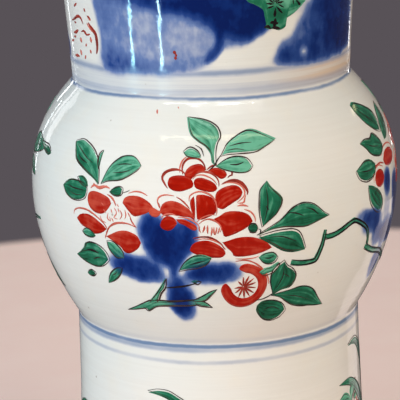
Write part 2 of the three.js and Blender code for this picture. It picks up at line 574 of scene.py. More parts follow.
def enamelMaterial(name, look):
    material, tree, shader = newMaterial(name, look["roughness"])
    shader.inputs["Specular IOR Level"].default_value = look["specular"]
    layers = {layer: attribute(tree, layer) for layer in paintLayers}
    strokes = product(tree, patchy(tree, *enamelLook["strokeCloud"]), enamelLook["strokeShare"])
    thick = added(tree, patchy(tree, *enamelLook["poolCloud"]), enamelLook["poolShare"], strokes)
    laid = addNode(tree, "ShaderNodeCombineXYZ", {
        number: product(tree, layers[layer], fineness)
        for number, (layer, fineness) in enumerate(enamelLook["streakFineness"].items())
    })
    streaks = stepped(tree, noisy(tree, laid.outputs[0], 1.0, 2.0), *enamelLook["streakRange"])
    for part, share in ((streaks, "streaks"), (layers["across"], "half"), (layers["along"], "tip")):
        thick = added(tree, part, look[share], thick)
    thick = maths(tree, "ADD", thick, maths(tree, "SUBTRACT", layers["tone"], 0.5))
    middle = ((enamelLook["middleAt"], look["middle"]),)
    colour = ramped(tree, thick, look["thin"], middle, look["thick"])
    if "clear" in look:     # cobalt that lies under the enamel shows through it
        colour = tinted(tree, colour, attribute(tree, "cobalt"), look["clear"], glazeLook["washDeep"])
    tree.links.new(colour, shader.inputs["Base Color"])
    relief(tree, shader, rings=0.1, ripple=0.9, pinholes=0.2, strength=0.3, distance=0.0003)
    return material


glazedPorcelain = glazedMaterial(glazeLook)
barePorcelain = plainMaterial("barePorcelain", {
    "colour": paint(220, 206, 180), "shade": paint(207, 187, 156), "grain": paint(170, 142, 108),
    "grainShare": 0.2, "roughness": 0.72, "patch": 40.0,
})
firedSlip = plainMaterial("firedSlip", {
    "colour": paint(218, 212, 198), "shade": paint(204, 194, 176), "grain": paint(180, 166, 144),
    "grainShare": 0.2, "roughness": 0.5, "patch": 120.0,
})
greenEnamel = enamelMaterial("greenEnamel", {
    "thin": paint(104, 178, 148), "middle": paint(30, 114, 84), "thick": paint(8, 54, 32),
    "half": -0.12, "tip": -0.1, "roughness": 0.12, "specular": 0.75, "streaks": 0.4, "clear": 1.1,
})
redEnamel = enamelMaterial("redEnamel", {
    "thin": paint(194, 80, 60), "middle": paint(160, 20, 2), "thick": paint(128, 6, 0),
    "half": -0.05, "tip": 0.0, "roughness": 0.3, "specular": 0.25, "streaks": 0.24,
})
redLine = enamelMaterial("redLine", {
    "thin": paint(206, 112, 96), "middle": paint(160, 54, 40), "thick": paint(88, 22, 20),
    "half": 0.0, "tip": 0.0, "roughness": 0.4, "specular": 0.25, "streaks": 0.2,
})
darkLine = enamelMaterial("darkLine", {
    "thin": paint(82, 62, 54), "middle": paint(46, 32, 32), "thick": paint(16, 12, 18),
    "half": 0.0, "tip": 0.0, "roughness": 0.4, "specular": 0.25, "streaks": 0.2,
})


def finishPiece(name, mesh, material, slot, nodes=()):
    data = bpy.data.meshes.new(name)
    mesh.to_mesh(data)
    mesh.free()
    data.shade_smooth()
    data.materials.append(material)
    piece = bpy.data.objects.new(name, data)
    bpy.context.scene.collection.objects.link(piece)
    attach(piece, "root")
    if nodes:
        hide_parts(*nodes)
    return piece


print("stage: painting kit")
brush = {
    "cell": 0.9,              # length of a mesh cell in a painted shape
    "leafLift": 0.05,
    "leafDome": 0.09,
    "petalLift": 0.03,
    "petalDome": 0.04,
    "redLift": 0.06,
    "lineLift": 0.12,
    "veinLift": 0.15,
    "lineDome": 0.03,
    "taper": 0.75,            # how much thinner a stroke is at its ends
    "unevenness": 0.28,       # of a stroke's width
    "slip": 1.5,              # how far the green misses its outline
    "slipFineness": 0.37,
    "sketch": 1.55,           # weight of the red lines
    "twigTaper": 0.4,
    "twigEdge": 0.72,         # width of the lines along a twig
    "twigHalf": 0.45,         # how far out they run, as a share of the twig's width
    "twigEnd": 0.45,          # how far in they come at its end
    "ringWave": 0.02,
    "washWander": ((0.16, 0.9), (0.55, 0.22)),     # fineness and reach
    "coat": 0.16,             # thickness of the closed mesh, most of it sunk in the glaze
    "weld": 0.004,
}
tiny = 1e-9


def smoothPath(points, count):
    # A smooth line through the points, cut into equal steps
    ends = [points[0], *points, points[-1]]
    dense = []
    for before, here, there, after in zip(ends, ends[1:], ends[2:], ends[3:]):
        for t in np.arange(8) / 8:
            dense.append([
                0.5 * (2 * h + (k - b) * t + (2 * b - 5 * h + 4 * k - a) * t ** 2
                       + (3 * h - b - 3 * k + a) * t ** 3)
                for b, h, k, a in zip(before, here, there, after)
            ])
    dense = np.array([*dense, points[-1]])
    walked = np.concatenate([[0], np.cumsum(np.hypot(*np.diff(dense, axis=0).T))])
    marks = np.linspace(0, walked[-1], count)
    return np.stack([np.interp(marks, walked, dense[:, 0]), np.interp(marks, walked, dense[:, 1])], axis=1)


def lengthOf(points):
    return sum(math.dist(a, b) for a, b in zip(points, points[1:]))


def waysAlong(path):
    ways = np.gradient(path, axis=0)
    return ways / np.maximum(np.hypot(*ways.T), 1e-6)[:, None]


def placing(about=(0, 0), at=(0, 0), scale=1.0, turn=0.0, mirror=False):
    c, s = math.cos(math.radians(turn)), math.sin(math.radians(turn))
    side = -1 if mirror else 1

    def move(point):
        across = (point[0] - about[0]) * side * scale
        up = (point[1] - about[1]) * scale
        return at[0] + across * c - up * s, at[1] + across * s + up * c
    move.scale, move.turn, move.side = scale, turn, side
    return move


asDrawn = placing()
paintMeshes = {}


def paintMesh(zone, kind):
    # All paint of one kind in one zone of the pot is one piece
    if (zone, kind) not in paintMeshes:
        made = bmesh.new()
        for layer in paintLayers:
            made.verts.layers.float.new(layer)
        paintMeshes[zone, kind] = made
    return paintMeshes[zone, kind]


def laidGrid(mesh, alongCells, acrossCells, placeAt, tone):
    # A grid whose corners (u, v), each from 0 to 1, are laid on the wall where placeAt says
    layers = [mesh.verts.layers.float[name] for name in paintLayers]
    made = bmesh.ops.create_grid(mesh, x_segments=alongCells, y_segments=acrossCells, size=1.0)
    for vert in made["verts"]:
        step = round((vert.co.x + 1) / 2 * alongCells)
        v = (vert.co.y + 1) / 2
        u = step / alongCells
        place, lift = placeAt(step, u, v)
        vert.co = onWall(place, lift)
        for layer, value in zip(layers, (2 * v - 1, u, tone)):
            vert[layer] = value


def addBlade(mesh, shape, move, lift, dome):
    under = [move(p) for p in shape["under"]]
    over = [move(p) for p in shape["over"]]
    cells = max(6, round(max(lengthOf(under), lengthOf(over)) / brush["cell"]))
    low, high = smoothPath(under, cells + 1), smoothPath(over, cells + 1)
    wide = np.hypot(*(high - low).T).max()

    def placeAt(step, u, v):
        place = low[step] * (1 - v) + high[step] * v
        rise = (1 - (2 * v - 1) ** 4) * (1 - (2 * u - 1) ** 8)
        return place, lift + dome * rise
    laidGrid(mesh, cells, max(4, round(wide / brush["cell"])), placeAt, shape["tone"])


def addStroke(mesh, points, width, move, lift, dome, tone, taper):
    line = [move(p) for p in points]
    cells = max(3, round(lengthOf(line) / brush["cell"]))
    path = smoothPath(line, cells + 1)
    ways = waysAlong(path)
    seed = noise.noise(Vector((path[0][0], path[0][1], 3.1)))

    def placeAt(step, u, v):
        middle = 1 - abs(2 * u - 1)
        press = (1 - taper) + taper * middle ** 0.6
        press *= 1 + brush["unevenness"] * noise.noise(Vector((*path[step] * 0.6, seed)))
        half = 0.5 * width * press * (2 * v - 1)
        squeeze = roundScale / glazedRadius(path[step][1])
        place = (path[step][0] - ways[step][1] * half * squeeze, path[step][1] + ways[step][0] * half)
        return place, lift + dome * (1 - abs(2 * v - 1))
    laidGrid(mesh, cells, 2, placeAt, tone)


def addRing(mesh, ring, move, lift, dome):
    # A petal ring, open where another colour covers it
    first, last = (math.radians(a) for a in ring["turn"])
    cells = round(abs(last - first) * ring["outer"] / brush["cell"])

    def placeAt(step, u, v):
        angle = first + (last - first) * u
        wave = 1 + brush["ringWave"] * math.sin(3 * angle + 1)
        v = 0.5 + (v - 0.5) * math.sqrt(max(0.02, min(1, 14 * u, 14 * (1 - u))))     # pointed ends
        turn = (math.cos(angle), math.sin(angle))
        inner = [middle + ring["inner"] * t for middle, t in zip(ring["hole"], turn)]
        outer = [middle + ring["outer"] * wave * t for middle, t in zip(ring["centre"], turn)]
        place = move([a * (1 - v) + b * v for a, b in zip(inner, outer)])
        return place, lift + dome * (1 - (2 * v - 1) ** 4)
    laidGrid(mesh, cells, 4, placeAt, ring["tone"])


washes = []


def pointsOf(data):
    points = np.empty(len(data.vertices) * 3)
    data.vertices.foreach_get("co", points)
    return points.reshape(-1, 3) / mm


def keepCobalt(data, amounts):
    layer = data.attributes.new("cobalt", "FLOAT", "POINT")
    layer.data.foreach_set("value", amounts)


def addWash(wash, move):
    if "outline" in wash:
        corners = [move(p) for p in [*wash["outline"], wash["outline"][0]]]
        washes.append({**wash, "points": smoothPath(corners, 60)})
        return
    size = [s * move.scale for s in wash["size"]]
    tilt = math.radians(wash["tilt"] * move.side + move.turn)
    washes.append({**wash, "centre": move(wash["centre"]), "size": size, "tilt": tilt})


def roundTo(across, middle):
    # How far round the pot a place lies from another, by the shorter way
    return (across - middle + wayRound / 2) % wayRound - wayRound / 2


def washEdge(wash, across, up):
    # How far inside a wash a place lies, negative outside it
    if "points" not in wash:
        c, s = math.cos(wash["tilt"]), math.sin(wash["tilt"])
        away = roundTo(across, wash["centre"][0])
        rise = up - wash["centre"][1]
        x = (away * c + rise * s) / wash["size"][0]
        y = (rise * c - away * s) / wash["size"][1]
        return (1 - np.hypot(x, y)) * min(wash["size"])
    points = wash["points"]
    middle = points.mean(axis=0)
    away = roundTo(across, middle[0]) + middle[0]
    nearest = np.full(across.shape, 1 / tiny)
    inside = np.zeros(across.shape, bool)
    for a, b in zip(points, points[1:]):
        side = b - a
        span = max(side @ side, tiny)
        t = np.clip(((away - a[0]) * side[0] + (up - a[1]) * side[1]) / span, 0, 1)
        nearest = np.minimum(nearest, np.hypot(away - a[0] - t * side[0], up - a[1] - t * side[1]))
        crosses = (a[1] > up) != (b[1] > up)
        rise = side[1] if abs(side[1]) > tiny else tiny
        inside ^= crosses & (away < a[0] + (up - a[1]) / rise * side[0])
    return np.where(inside, nearest, -nearest)


def wobble(place):
    # Two smooth shifts of a place. noise_vector isn't used, as its order changes from run to run
    return noise.noise(Vector(place)), noise.noise(Vector(place) + Vector((37.2, 11.8, 5.4)))


def cobaltAt(points):
    # How much cobalt lies at each point of the wall, given in millimetres
    across = np.arctan2(points[:, 0], -points[:, 1]) * roundScale
    up = points[:, 2].copy()
    for fineness, reach in brush["washWander"]:
        bends = np.array([wobble(p * fineness) for p in points])
        across = across + reach * bends[:, 0]
        up = up + reach * bends[:, 1]
    clear = np.ones(len(points))
    for wash in washes:
        t = np.clip(washEdge(wash, across, up) / wash["soft"] * 0.5 + 0.5, 0, 1)
        amount = abs(wash["depth"]) * t * t * (3 - 2 * t)
        if wash["depth"] > 0:
            clear *= 1 - amount
        else:
            clear = 1 - (1 - clear) * (1 - amount)
    return 1 - clear


print("stage: flowers, leaves and rocks")


def shape(start, over, end, under, tone=0.5, veins=(), outline=0.46):
    # A painted shape: along its upper edge to its end and back along its lower edge
    edges = {"over": [start, *over, end], "under": [start, *reversed(under), end]}
    return {**edges, "tone": tone, "veins": veins, "outline": outline}


def oval(centre, size, depth, soft, tilt=0):
    # An oval wash of cobalt. One with a depth below 0 takes cobalt away
    return {"centre": centre, "size": size, "depth": depth, "soft": soft, "tilt": tilt}


def pool(outline, depth, soft):
    # A wash of cobalt with an outline of its own
    return {"outline": outline, "depth": depth, "soft": soft}


def spokes(across, up, turns, width=1.9, tone=1.0, gap=0.6, twist=0.0):
    # Short strokes that spread from one place, each with its turn in radians and its reach
    return [
        (width, tone, [
            (across + gap * math.cos(turn), up + gap * math.sin(turn)),
            (across + reach * math.cos(turn + twist), up + reach * math.sin(turn + twist)),
        ])
        for turn, reach in turns
    ]


def tuft(across, up, reach, degrees):
    # Black strokes of one length, for moss and needles
    return spokes(across, up, [(math.radians(turn), reach) for turn in degrees])


# Leaves are green shapes with a dark outline and dark veins, petals are red shapes. A sketch line
# is (width, tone, points) in thin red, a line the same in brown, and a twig is (width, points).
twinLeaves = {"leaves": [
    shape((-45, 196.3), [(-45.4, 200.5), (-46.4, 204), (-48, 206), (-50, 207.7), (-53, 209.2),
          (-57, 210.2)],
          (-61, 209.2), [(-59.4, 206), (-57.7, 203.3), (-54, 201.2), (-50, 199.3), (-47, 197.9)], 0.5,
          [(0.5, 0.8, [(-57.5, 205), (-55, 203.6), (-51.8, 202.6)]),
          (0.4, 0.5, [(-59.6, 208.2), (-56, 206.3), (-52.2, 204.2), (-49, 203)])]),
    shape((-44, 196.3), [(-41.8, 201), (-39.5, 204), (-36, 206.3), (-32, 206.8), (-29.6, 205.7)],
          (-27.8, 203.8), [(-29, 202.3), (-32, 200.3), (-36, 198.4), (-41, 197.6)], 0.34,
          [(0.4, 0.7, [(-37.8, 203.4), (-34.5, 204), (-31.6, 203.9)]),
          (0.35, 0.6, [(-39.4, 200.6), (-35, 201.2), (-31.3, 202.3)])]),
    shape((-50.3, 192.8), [(-50.8, 195), (-54, 196), (-58, 196.1), (-61, 195.2)],
          (-63.4, 193), [(-61.6, 190.6), (-58, 189.1), (-54, 189.2), (-51.2, 190.5)], 0.72,
          [(0.5, 0.8, [(-60.2, 193.6), (-56.5, 193.2), (-52.6, 193.2)]),
          (0.35, 0.6, [(-59.5, 191.6), (-56, 191), (-53, 191.4)])]),
    shape((-50.4, 194.3), [(-51.2, 196.6), (-53.5, 197.8)],
          (-55.8, 197.4), [(-54.5, 195.8), (-52, 194.6)], 0.6),
    shape((-45.9, 201.2), [(-45.7, 204), (-45.4, 206.6)],
          (-45.1, 207.7), [(-46.6, 206.6), (-46.9, 204)], 0.4),
    shape((-39.6, 194.1), [(-38, 195.6), (-35.6, 196.3)],
          (-34.3, 195.6), [(-34.9, 193.4), (-37.4, 192.8)], 0.85),
], "lines": [
    (0.3, 0.3, [(-34.6, 194.2), (-33, 194.6), (-31.6, 195.4)]),
], "sketch": [
    (0.8, 0.1, [(-48.6, 194.4), (-47, 195.6), (-44.8, 194.9), (-42, 195.6), (-40, 195.2)]),
    (0.4, 0.2, [(-47.6, 196.2), (-46, 195)]), (0.4, 0.2, [(-41.2, 196), (-43, 195)]),
]}
sideBloom = {"petals": [
    shape((-50, 189.8), [(-49.8, 192), (-48.3, 193.3), (-45.5, 193.4), (-42.5, 192.7), (-40.2, 191.7)],
          (-39.2, 189.9), [(-40.6, 187.8), (-42.5, 186.1), (-44.7, 185.6), (-47.2, 186.2),
          (-49.2, 187.8)], 0.5),
    shape((-34.5, 190.6), [(-33.7, 192.4), (-31.5, 193.4), (-28, 193.4), (-25.3, 192.3), (-23.5, 191)],
          (-22.5, 189.4), [(-24.5, 188), (-27, 186.9), (-29.8, 186.2), (-31.4, 187.2), (-33, 188.9)],
          0.38),
    shape((-25, 189.6), [(-23.2, 190), (-21.4, 189.2)],
          (-19.6, 188.3), [(-21.2, 186.5), (-23.6, 186.9)], 0.25),
    shape((-55.9, 182.4), [(-54, 184.1), (-51, 184.8), (-48.2, 184.4), (-45.5, 183.1), (-43, 181.6)],
          (-41.6, 180.3), [(-43.5, 178.9), (-46, 178), (-48.3, 177.9), (-50.5, 179.3), (-53.5, 180.2)],
          0.55),
    shape((-42.1, 177.6), [(-39.5, 178.9), (-37, 180.1), (-34, 180.7), (-31, 180.1), (-29, 178.9)],
          (-27.9, 176.6), [(-29.2, 174.4), (-32.3, 172.4), (-34.7, 172.4), (-36.4, 174.4), (-39, 176)],
          0.5),
], "sketch": [
    (0.5, 0.3, [(-41, 193), (-39.2, 192.2), (-37.9, 190.8), (-37.3, 189.2)]),
    (0.4, 0.1, [(-32.2, 194.2), (-29.5, 195), (-27, 194.8), (-24.8, 193.8)]),
    (0.5, 0.3, [(-57.4, 183.6), (-56.8, 185.3), (-54.5, 186.3), (-51, 186.4), (-48, 185.5),
        (-44.6, 183.7), (-42.2, 181.8), (-41.2, 180.2)]),
    (0.5, 0.4, [(-42.6, 176.8), (-41.9, 178.6), (-40.4, 181.2), (-38, 182.8), (-35, 183.4), (-32, 183.2),
        (-29.6, 182.3)]),
    (0.4, 0.4, [(-31.6, 186.2), (-31, 184.2), (-29.2, 182.1)]),
    (0.3, 0.1, [(-44.2, 185), (-43.6, 183.4), (-41.6, 182.6)]),
    (0.3, 0.1, [(-40.6, 186.4), (-41, 184.4), (-39.6, 183.6), (-40.2, 185.2)]),
    (0.3, 0.1, [(-38, 188.6), (-37, 186.8), (-38.2, 185), (-36.6, 184.6)]),
    (0.3, 0.2, [(-35.6, 188), (-34.8, 186.2), (-35.8, 184.6)]),
    (0.3, 0.1, [(-33.6, 188.2), (-33.2, 186.2), (-33.8, 184.8)]),
    (0.3, 0.1, [(-39.4, 188), (-38.8, 186.4)]), (0.3, 0.1, [(-42.6, 187.6), (-41.6, 186.2)]),
    (0.3, 0.1, [(-36.4, 188.6), (-35.9, 187)]), (0.3, 0.15, [(-39.2, 184.8), (-38.4, 183.4)]),
    (0.3, 0.1, [(-34.9, 183.9), (-34.4, 182.9)]), (0.35, 0.1, [(-32.4, 187.4), (-31.6, 185.9)]),
    (0.3, 0.15, [(-43.6, 189.8), (-42.4, 188.8)]), (0.3, 0.1, [(-36.9, 190), (-36, 189)]),
]}
lowLeaves = {"leaves": [
    shape((-47.3, 177), [(-48, 178), (-49.5, 179.1), (-51.6, 179.4)],
          (-53.4, 177.9), [(-52.4, 176.8), (-50.8, 176.3), (-48.6, 176.3)], 0.55),
    shape((-41.9, 168.6), [(-43, 171.4), (-45.8, 173.6), (-49.5, 174.3), (-52, 173.7),
          (-53.2, 171.8), (-55.6, 169.8)],
          (-58.2, 168.1), [(-55, 166.3), (-51, 165.1), (-47.5, 165.1), (-44.5, 166.3)], 0.7,
          [(0.9, 0.9, [(-52.6, 170.8), (-50, 171.2), (-46.5, 170.6)]),
          (0.5, 0.7, [(-50, 167.6), (-48, 168.6), (-46.2, 168.9)]),
          (0.35, 0.6, [(-55.6, 169.7), (-52.6, 170.7), (-50, 171.1)])]),
    shape((-42, 176.1), [(-39.6, 176.1), (-37.3, 174.6), (-35.7, 172.6)],
          (-35.4, 170.6), [(-38.4, 170), (-40.3, 171.4), (-41.6, 173.4)], 0.5),
    shape((-50.4, 161.9), [(-51.6, 162.9), (-53.4, 162.8)],
          (-54.9, 161.2), [(-53.6, 160.3), (-51.6, 160.7)], 0.85),
    shape((-37, 166), [(-39.6, 165.7), (-42.3, 163.8), (-44, 161.6)],
          (-44.9, 159.1), [(-42.4, 160), (-40, 161.6), (-37.8, 164)], 0.55,
          [(0.5, 0.7, [(-42.2, 162.4), (-40.6, 163.3), (-39.6, 164.2)])]),
]}
peony = {"petals": [
    shape((-17.4, 198.6), [(-16.7, 200.3), (-14.5, 201), (-11.5, 201), (-9.2, 200.2)],
          (-8.1, 198.4), [(-8.4, 197.1), (-10.5, 196.2), (-13, 195.6), (-15.6, 196), (-17.1, 197.2)],
          0.62),
    shape((-11.4, 201.3), [(-10.5, 203.1), (-8.5, 204.4), (-5.8, 204.8), (-4.3, 204)],
          (-3.7, 202.7), [(-5.5, 201.9), (-7.6, 201.3), (-8.6, 199.9), (-10.6, 200.2)], 0.6),
    shape((-8, 198.8), [(-7.4, 199.9), (-5.5, 200.3), (-3, 199.6), (-1.2, 198.7), (-0.1, 197.6)],
          (0.3, 196.4), [(-0.8, 195.5), (-2.5, 195.4), (-5, 195.9), (-7.4, 196.9)], 0.66),
    shape((-2.9, 202.6), [(-1.5, 203.3), (0.6, 203.4), (2.3, 202.9), (3.5, 202.1)],
          (3.9, 200.9), [(3, 199.9), (1.5, 199.7), (0.2, 200.7), (-1.2, 201.8)], 0.55),
    shape((0.2, 189.9), [(-0.5, 192.2), (-0.3, 194.7), (1.2, 196.2), (3.8, 197.2), (6.5, 197.4),
          (8.4, 196.4)], (9.1, 194.8), [(8.2, 193), (6, 191.6), (3.8, 190.3), (2, 189.3)], 0.66),
    shape((-7.1, 186), [(-7.25, 189), (-7.25, 192), (-7, 194.3)],
          (-4.8, 194.6), [(-2.2, 193.8), (-0.7, 192), (-0.3, 190), (-0.6, 188), (-2.6, 186.9),
          (-5.4, 185.8)], 0.62),
    shape((-7.9, 186), [(-8.7, 188.2), (-9.3, 190.4), (-9.3, 192.6)],
          (-8, 194.1), [(-7.7, 191.8), (-7.65, 188.6)], 0.75),
    shape((-20.4, 188.4), [(-19.2, 191.2), (-16.5, 192.4), (-13.5, 191.9), (-11.2, 190.6),
          (-9.4, 189.2), (-8.4, 187.4)],
          (-7.9, 185.4), [(-9.5, 186.6), (-12, 186.9), (-14, 187.2), (-16, 187.4), (-18.5, 187)], 0.5),
    shape((-20.3, 183.5), [(-19.6, 185.6), (-17.8, 187), (-16, 186.8), (-14.6, 185.8)],
          (-14.2, 184.4), [(-15.4, 182.8), (-17, 181.8), (-18.6, 181.9), (-19.8, 182.6)], 0.55),
    shape((-14.5, 185.9), [(-12, 186), (-10, 185.2), (-8, 184.1), (-7.3, 183.3)],
          (-7.2, 182.3), [(-8.2, 181.9), (-9.6, 182.5), (-11.5, 183.8), (-13.3, 184.5)], 0.5),
    shape((-1.3, 186), [(0.8, 187), (3, 188.3), (6, 188.5), (9, 187.9), (11.2, 186.6)],
          (12.3, 184.4), [(10.2, 182.4), (7.5, 181), (4.5, 179.8), (2.2, 179.5), (1.5, 181.8),
          (0.6, 184.2)], 0.62),
    shape((-10.1, 174.6), [(-9.3, 176.5), (-7.5, 177.8), (-4.5, 178.3), (-2, 177.7), (0.3, 176.4),
          (2, 174.7)],
          (2.5, 173.1), [(1.2, 171.8), (-1.5, 171.7), (-4, 171.9), (-7, 172.7), (-9, 173.6)], 0.66),
    shape((1.5, 177.4), [(4, 178.1), (7, 178.9), (11, 178.9), (14, 178.1), (17, 176.6)],
          (19.2, 174.1), [(17, 173.2), (14.5, 172.4), (11, 171.8), (7.5, 171.7), (5.4, 172.1),
          (4.7, 173.6), (2.9, 175.4)], 0.62),
], "sketch": [
    (0.65, 0.75, [(-17.4, 196.6), (-18.7, 198.5), (-19.5, 200.2), (-18.3, 202), (-15.8, 202.9),
        (-13, 202.8), (-10.9, 201.5)]),
    (0.6, 0.8, [(-11.9, 201.4), (-12.2, 203.5), (-11.5, 205.4), (-9.8, 206.6), (-7, 206.7), (-5, 205.6),
        (-4, 204.1), (-3.6, 202.8)]),
    (0.4, 0.1, [(-13.1, 202), (-13, 204), (-12.1, 206), (-10.5, 207.2)]),
    (0.5, 0.7, [(-8.4, 200.4), (-6.5, 201.9), (-4.2, 202.2), (-2, 201.8), (-0.2, 200.6), (0.8, 199),
        (0.9, 197.2)]),
    (0.35, 0.2, [(-8.4, 199.7), (-7.3, 200.9), (-5, 201.2), (-2.5, 200.4), (-0.8, 199.2), (0.2, 197.8)]),
    (0.45, 0.8, [(-3.3, 202.8), (-1.5, 204), (0.5, 204.3)]),
    (0.45, 0.9, [(2.8, 203.8), (4.8, 203), (5.8, 201.8), (5.7, 200.8), (4.8, 200.6), (4.1, 199.9)]),
    (0.4, 0.15, [(1.6, 197.8), (4, 198.4), (6.8, 198.1), (8.9, 196.9), (9.9, 195), (9.3, 193.2),
        (7, 191.4)]),
    (0.8, 0.85, [(2.1, 198), (5, 199), (7.6, 198.7), (9.8, 197.1), (10.9, 195), (10.7, 193.9)]),
    (0.4, 0.1, [(10.2, 194), (9.6, 192.2), (9.3, 191.2), (7.2, 191.2)]),
    (0.5, 0.05, [(7, 190.2), (9, 190.4), (10.9, 189.8)]),
    (0.45, 0.3, [(-9.7, 192.2), (-9.4, 194.2), (-7, 195.5), (-4.5, 195.4), (-2, 194.2), (-0.4, 192),
        (-0.1, 189), (-0.3, 187.4)]),
    (0.4, 0.15, [(-20.2, 189.8), (-21.1, 192), (-20.3, 193.7), (-18, 194.4), (-15, 194.1)]),
    (0.45, 0.5, [(-20.1, 189.6), (-21, 191.9)]),
    (0.45, 0.5, [(-14.2, 193.8), (-12.5, 192.8), (-10.8, 191.2), (-9.5, 189.6)]),
    (0.4, 0.1, [(-19.9, 186), (-18.5, 187.5), (-16, 187.8), (-14, 187.1)]),
    (0.4, 0.1, [(-13.8, 186.7), (-11.5, 186.6), (-9, 185.7), (-7, 184.2), (-6.2, 183)]),
    (0.4, 0.3, [(-6.6, 184.2), (-4.9, 185.5), (-3, 186), (-1, 185.3), (0.6, 184), (1.3, 182.4),
        (0.8, 181.2)]),
    (0.35, 0.2, [(-7.2, 185), (-5, 186.7), (-2, 187.5), (-0.4, 187.3)]),
    (0.4, 0.4, [(-6.5, 183.6), (-6.4, 182), (-5.9, 181.2)]),
    (0.45, 0.3, [(-4.5, 183.7), (-4.8, 182.4), (-5.3, 181.2)]),
    (0.45, 0.3, [(-3.5, 183.8), (-3.6, 182), (-3.5, 180.7)]),
    (0.45, 0.3, [(-2, 183.1), (-2.1, 181.4), (-2.4, 180)]),
    (0.45, 0.3, [(-1.3, 183.1), (-1.4, 181.6), (-1.2, 180.2)]),
    (0.45, 0.3, [(-0.3, 183), (-0.6, 181.4), (-1, 180.2)]),
    (0.4, 0.3, [(0.6, 182.9), (0.4, 181.8), (-0.1, 180.6)]),
    (0.4, 0.2, [(9.4, 188.9), (11.6, 187.9), (13, 186), (13.2, 184.2)]),
    (0.5, 0.9, [(-8.8, 179.1), (-6, 179.6), (-3, 179.4), (-0.5, 178.1), (1.3, 176.4), (2.2, 174.8)]),
    (0.35, 0.2, [(-8.2, 178.5), (-5, 178.9), (-2, 178.4), (0.8, 176.8), (2.6, 174.6)]),
    (0.35, 0.3, [(6, 171), (9, 170.7), (12.5, 170.8), (14.4, 171.4)]),
    (0.3, 0.6, [(5.4, 180.8), (6.6, 181.2)]),
]}
topLeaves = {"leaves": [
    shape((0.3, 204.4), [(0.2, 208), (1, 211.3), (2.4, 213.4), (1.6, 216), (-1, 217.8), (-5, 218.9)],
          (-10.8, 219.6), [(-9.2, 214.6), (-6.2, 212.1), (-3.2, 210.4), (-1.2, 208), (-0.8, 205.4)],
          0.32),
    shape((1.8, 207), [(3, 208.8), (4.6, 211), (8, 213.1), (12, 214.6), (15.2, 214.5), (19, 213)],
          (23.4, 211), [(19, 209.2), (15, 207.8), (9, 207.6), (4.4, 207.5)], 0.12,
          [(0.4, 0.7, [(5.4, 210.2), (9.6, 210.9), (14.2, 211)]),
          (0.35, 0.6, [(4, 208.8), (7.6, 209.2), (11, 208.8)])]),
    shape((0.4, 204), [(3.2, 205.8), (6, 206.7), (9, 206.8), (12, 205.8)],
          (13.6, 203.4), [(12, 201.8), (9.2, 201.4), (6, 201.9), (3, 202.8)], 0.2,
          [(0.6, 0.9, [(5.2, 204.3), (8, 204.2), (10.4, 204.9)])]),
    shape((-12, 208.9), [(-10, 210.2), (-8, 209.9), (-6.2, 208.7)],
          (-5.4, 207.3), [(-7.8, 206.9), (-10.6, 207.4)], 0.15),
], "lines": [
    (0.5, 0.8, [(-2.6, 202.6), (-0.4, 204.2), (0.6, 205.8), (2, 207.4)]),
    (0.4, 0.5, [(-7.5, 210.8), (-5.2, 209.6), (-4.3, 207.2)]),
]}
fanLeaves = {"leaves": [
    shape((15.5, 182), [(14.7, 187), (14.8, 191), (15.3, 195)],
          (17.8, 197.8), [(19.4, 195.4), (22.6, 192.2), (23.1, 190), (21, 186.5), (18, 184)], 0.62,
          [(0.4, 0.7, [(17.6, 196), (17.9, 190), (16.2, 183.4)]),
          (0.5, 0.9, [(17.2, 189.6), (18.2, 187.8)])]),
    shape((13.6, 179.3), [(18, 181.6), (22, 183.7), (24, 185.3), (27, 187.7), (31, 189),
          (35, 188.2), (37.6, 186.4), (40, 184.2)],
          (42.2, 183), [(40, 182.4), (36, 181.3), (32, 180.4), (28, 180.8), (24, 181.3), (19, 181)], 0.72,
          [(0.5, 0.8, [(25.4, 186.2), (28.4, 185.6), (31.4, 184.2)]),
          (0.5, 0.8, [(32.4, 187), (35, 186), (37.4, 183.8)])]),
    shape((14.4, 179), [(20, 180.1), (25, 180.3), (28, 179.8), (30.3, 177.8)],
          (32.4, 172.4), [(28, 172), (24, 172.8), (21, 174.6), (18.4, 176.4)], 0.75,
          [(0.45, 0.8, [(18.6, 178.2), (23, 177.8), (28.4, 175.4)])]),
    shape((10.6, 182.2), [(11.4, 183.6), (13.2, 183.5)],
          (14.1, 181.9), [(13.2, 180.4), (11.4, 180.5)], 0.95),
    shape((14.7, 170.6), [(16.6, 172), (19.8, 172.2)],
          (21.6, 170.2), [(20.4, 168.4), (18, 167.9), (15.9, 168.9)], 0.45,
          [(0.5, 0.8, [(16.6, 170.4), (18.4, 170.2), (20, 171)])]),
], "lines": [
    (0.45, 0.9, [(14.2, 181.6), (15.2, 180.8), (14.4, 179.3)]),
]}
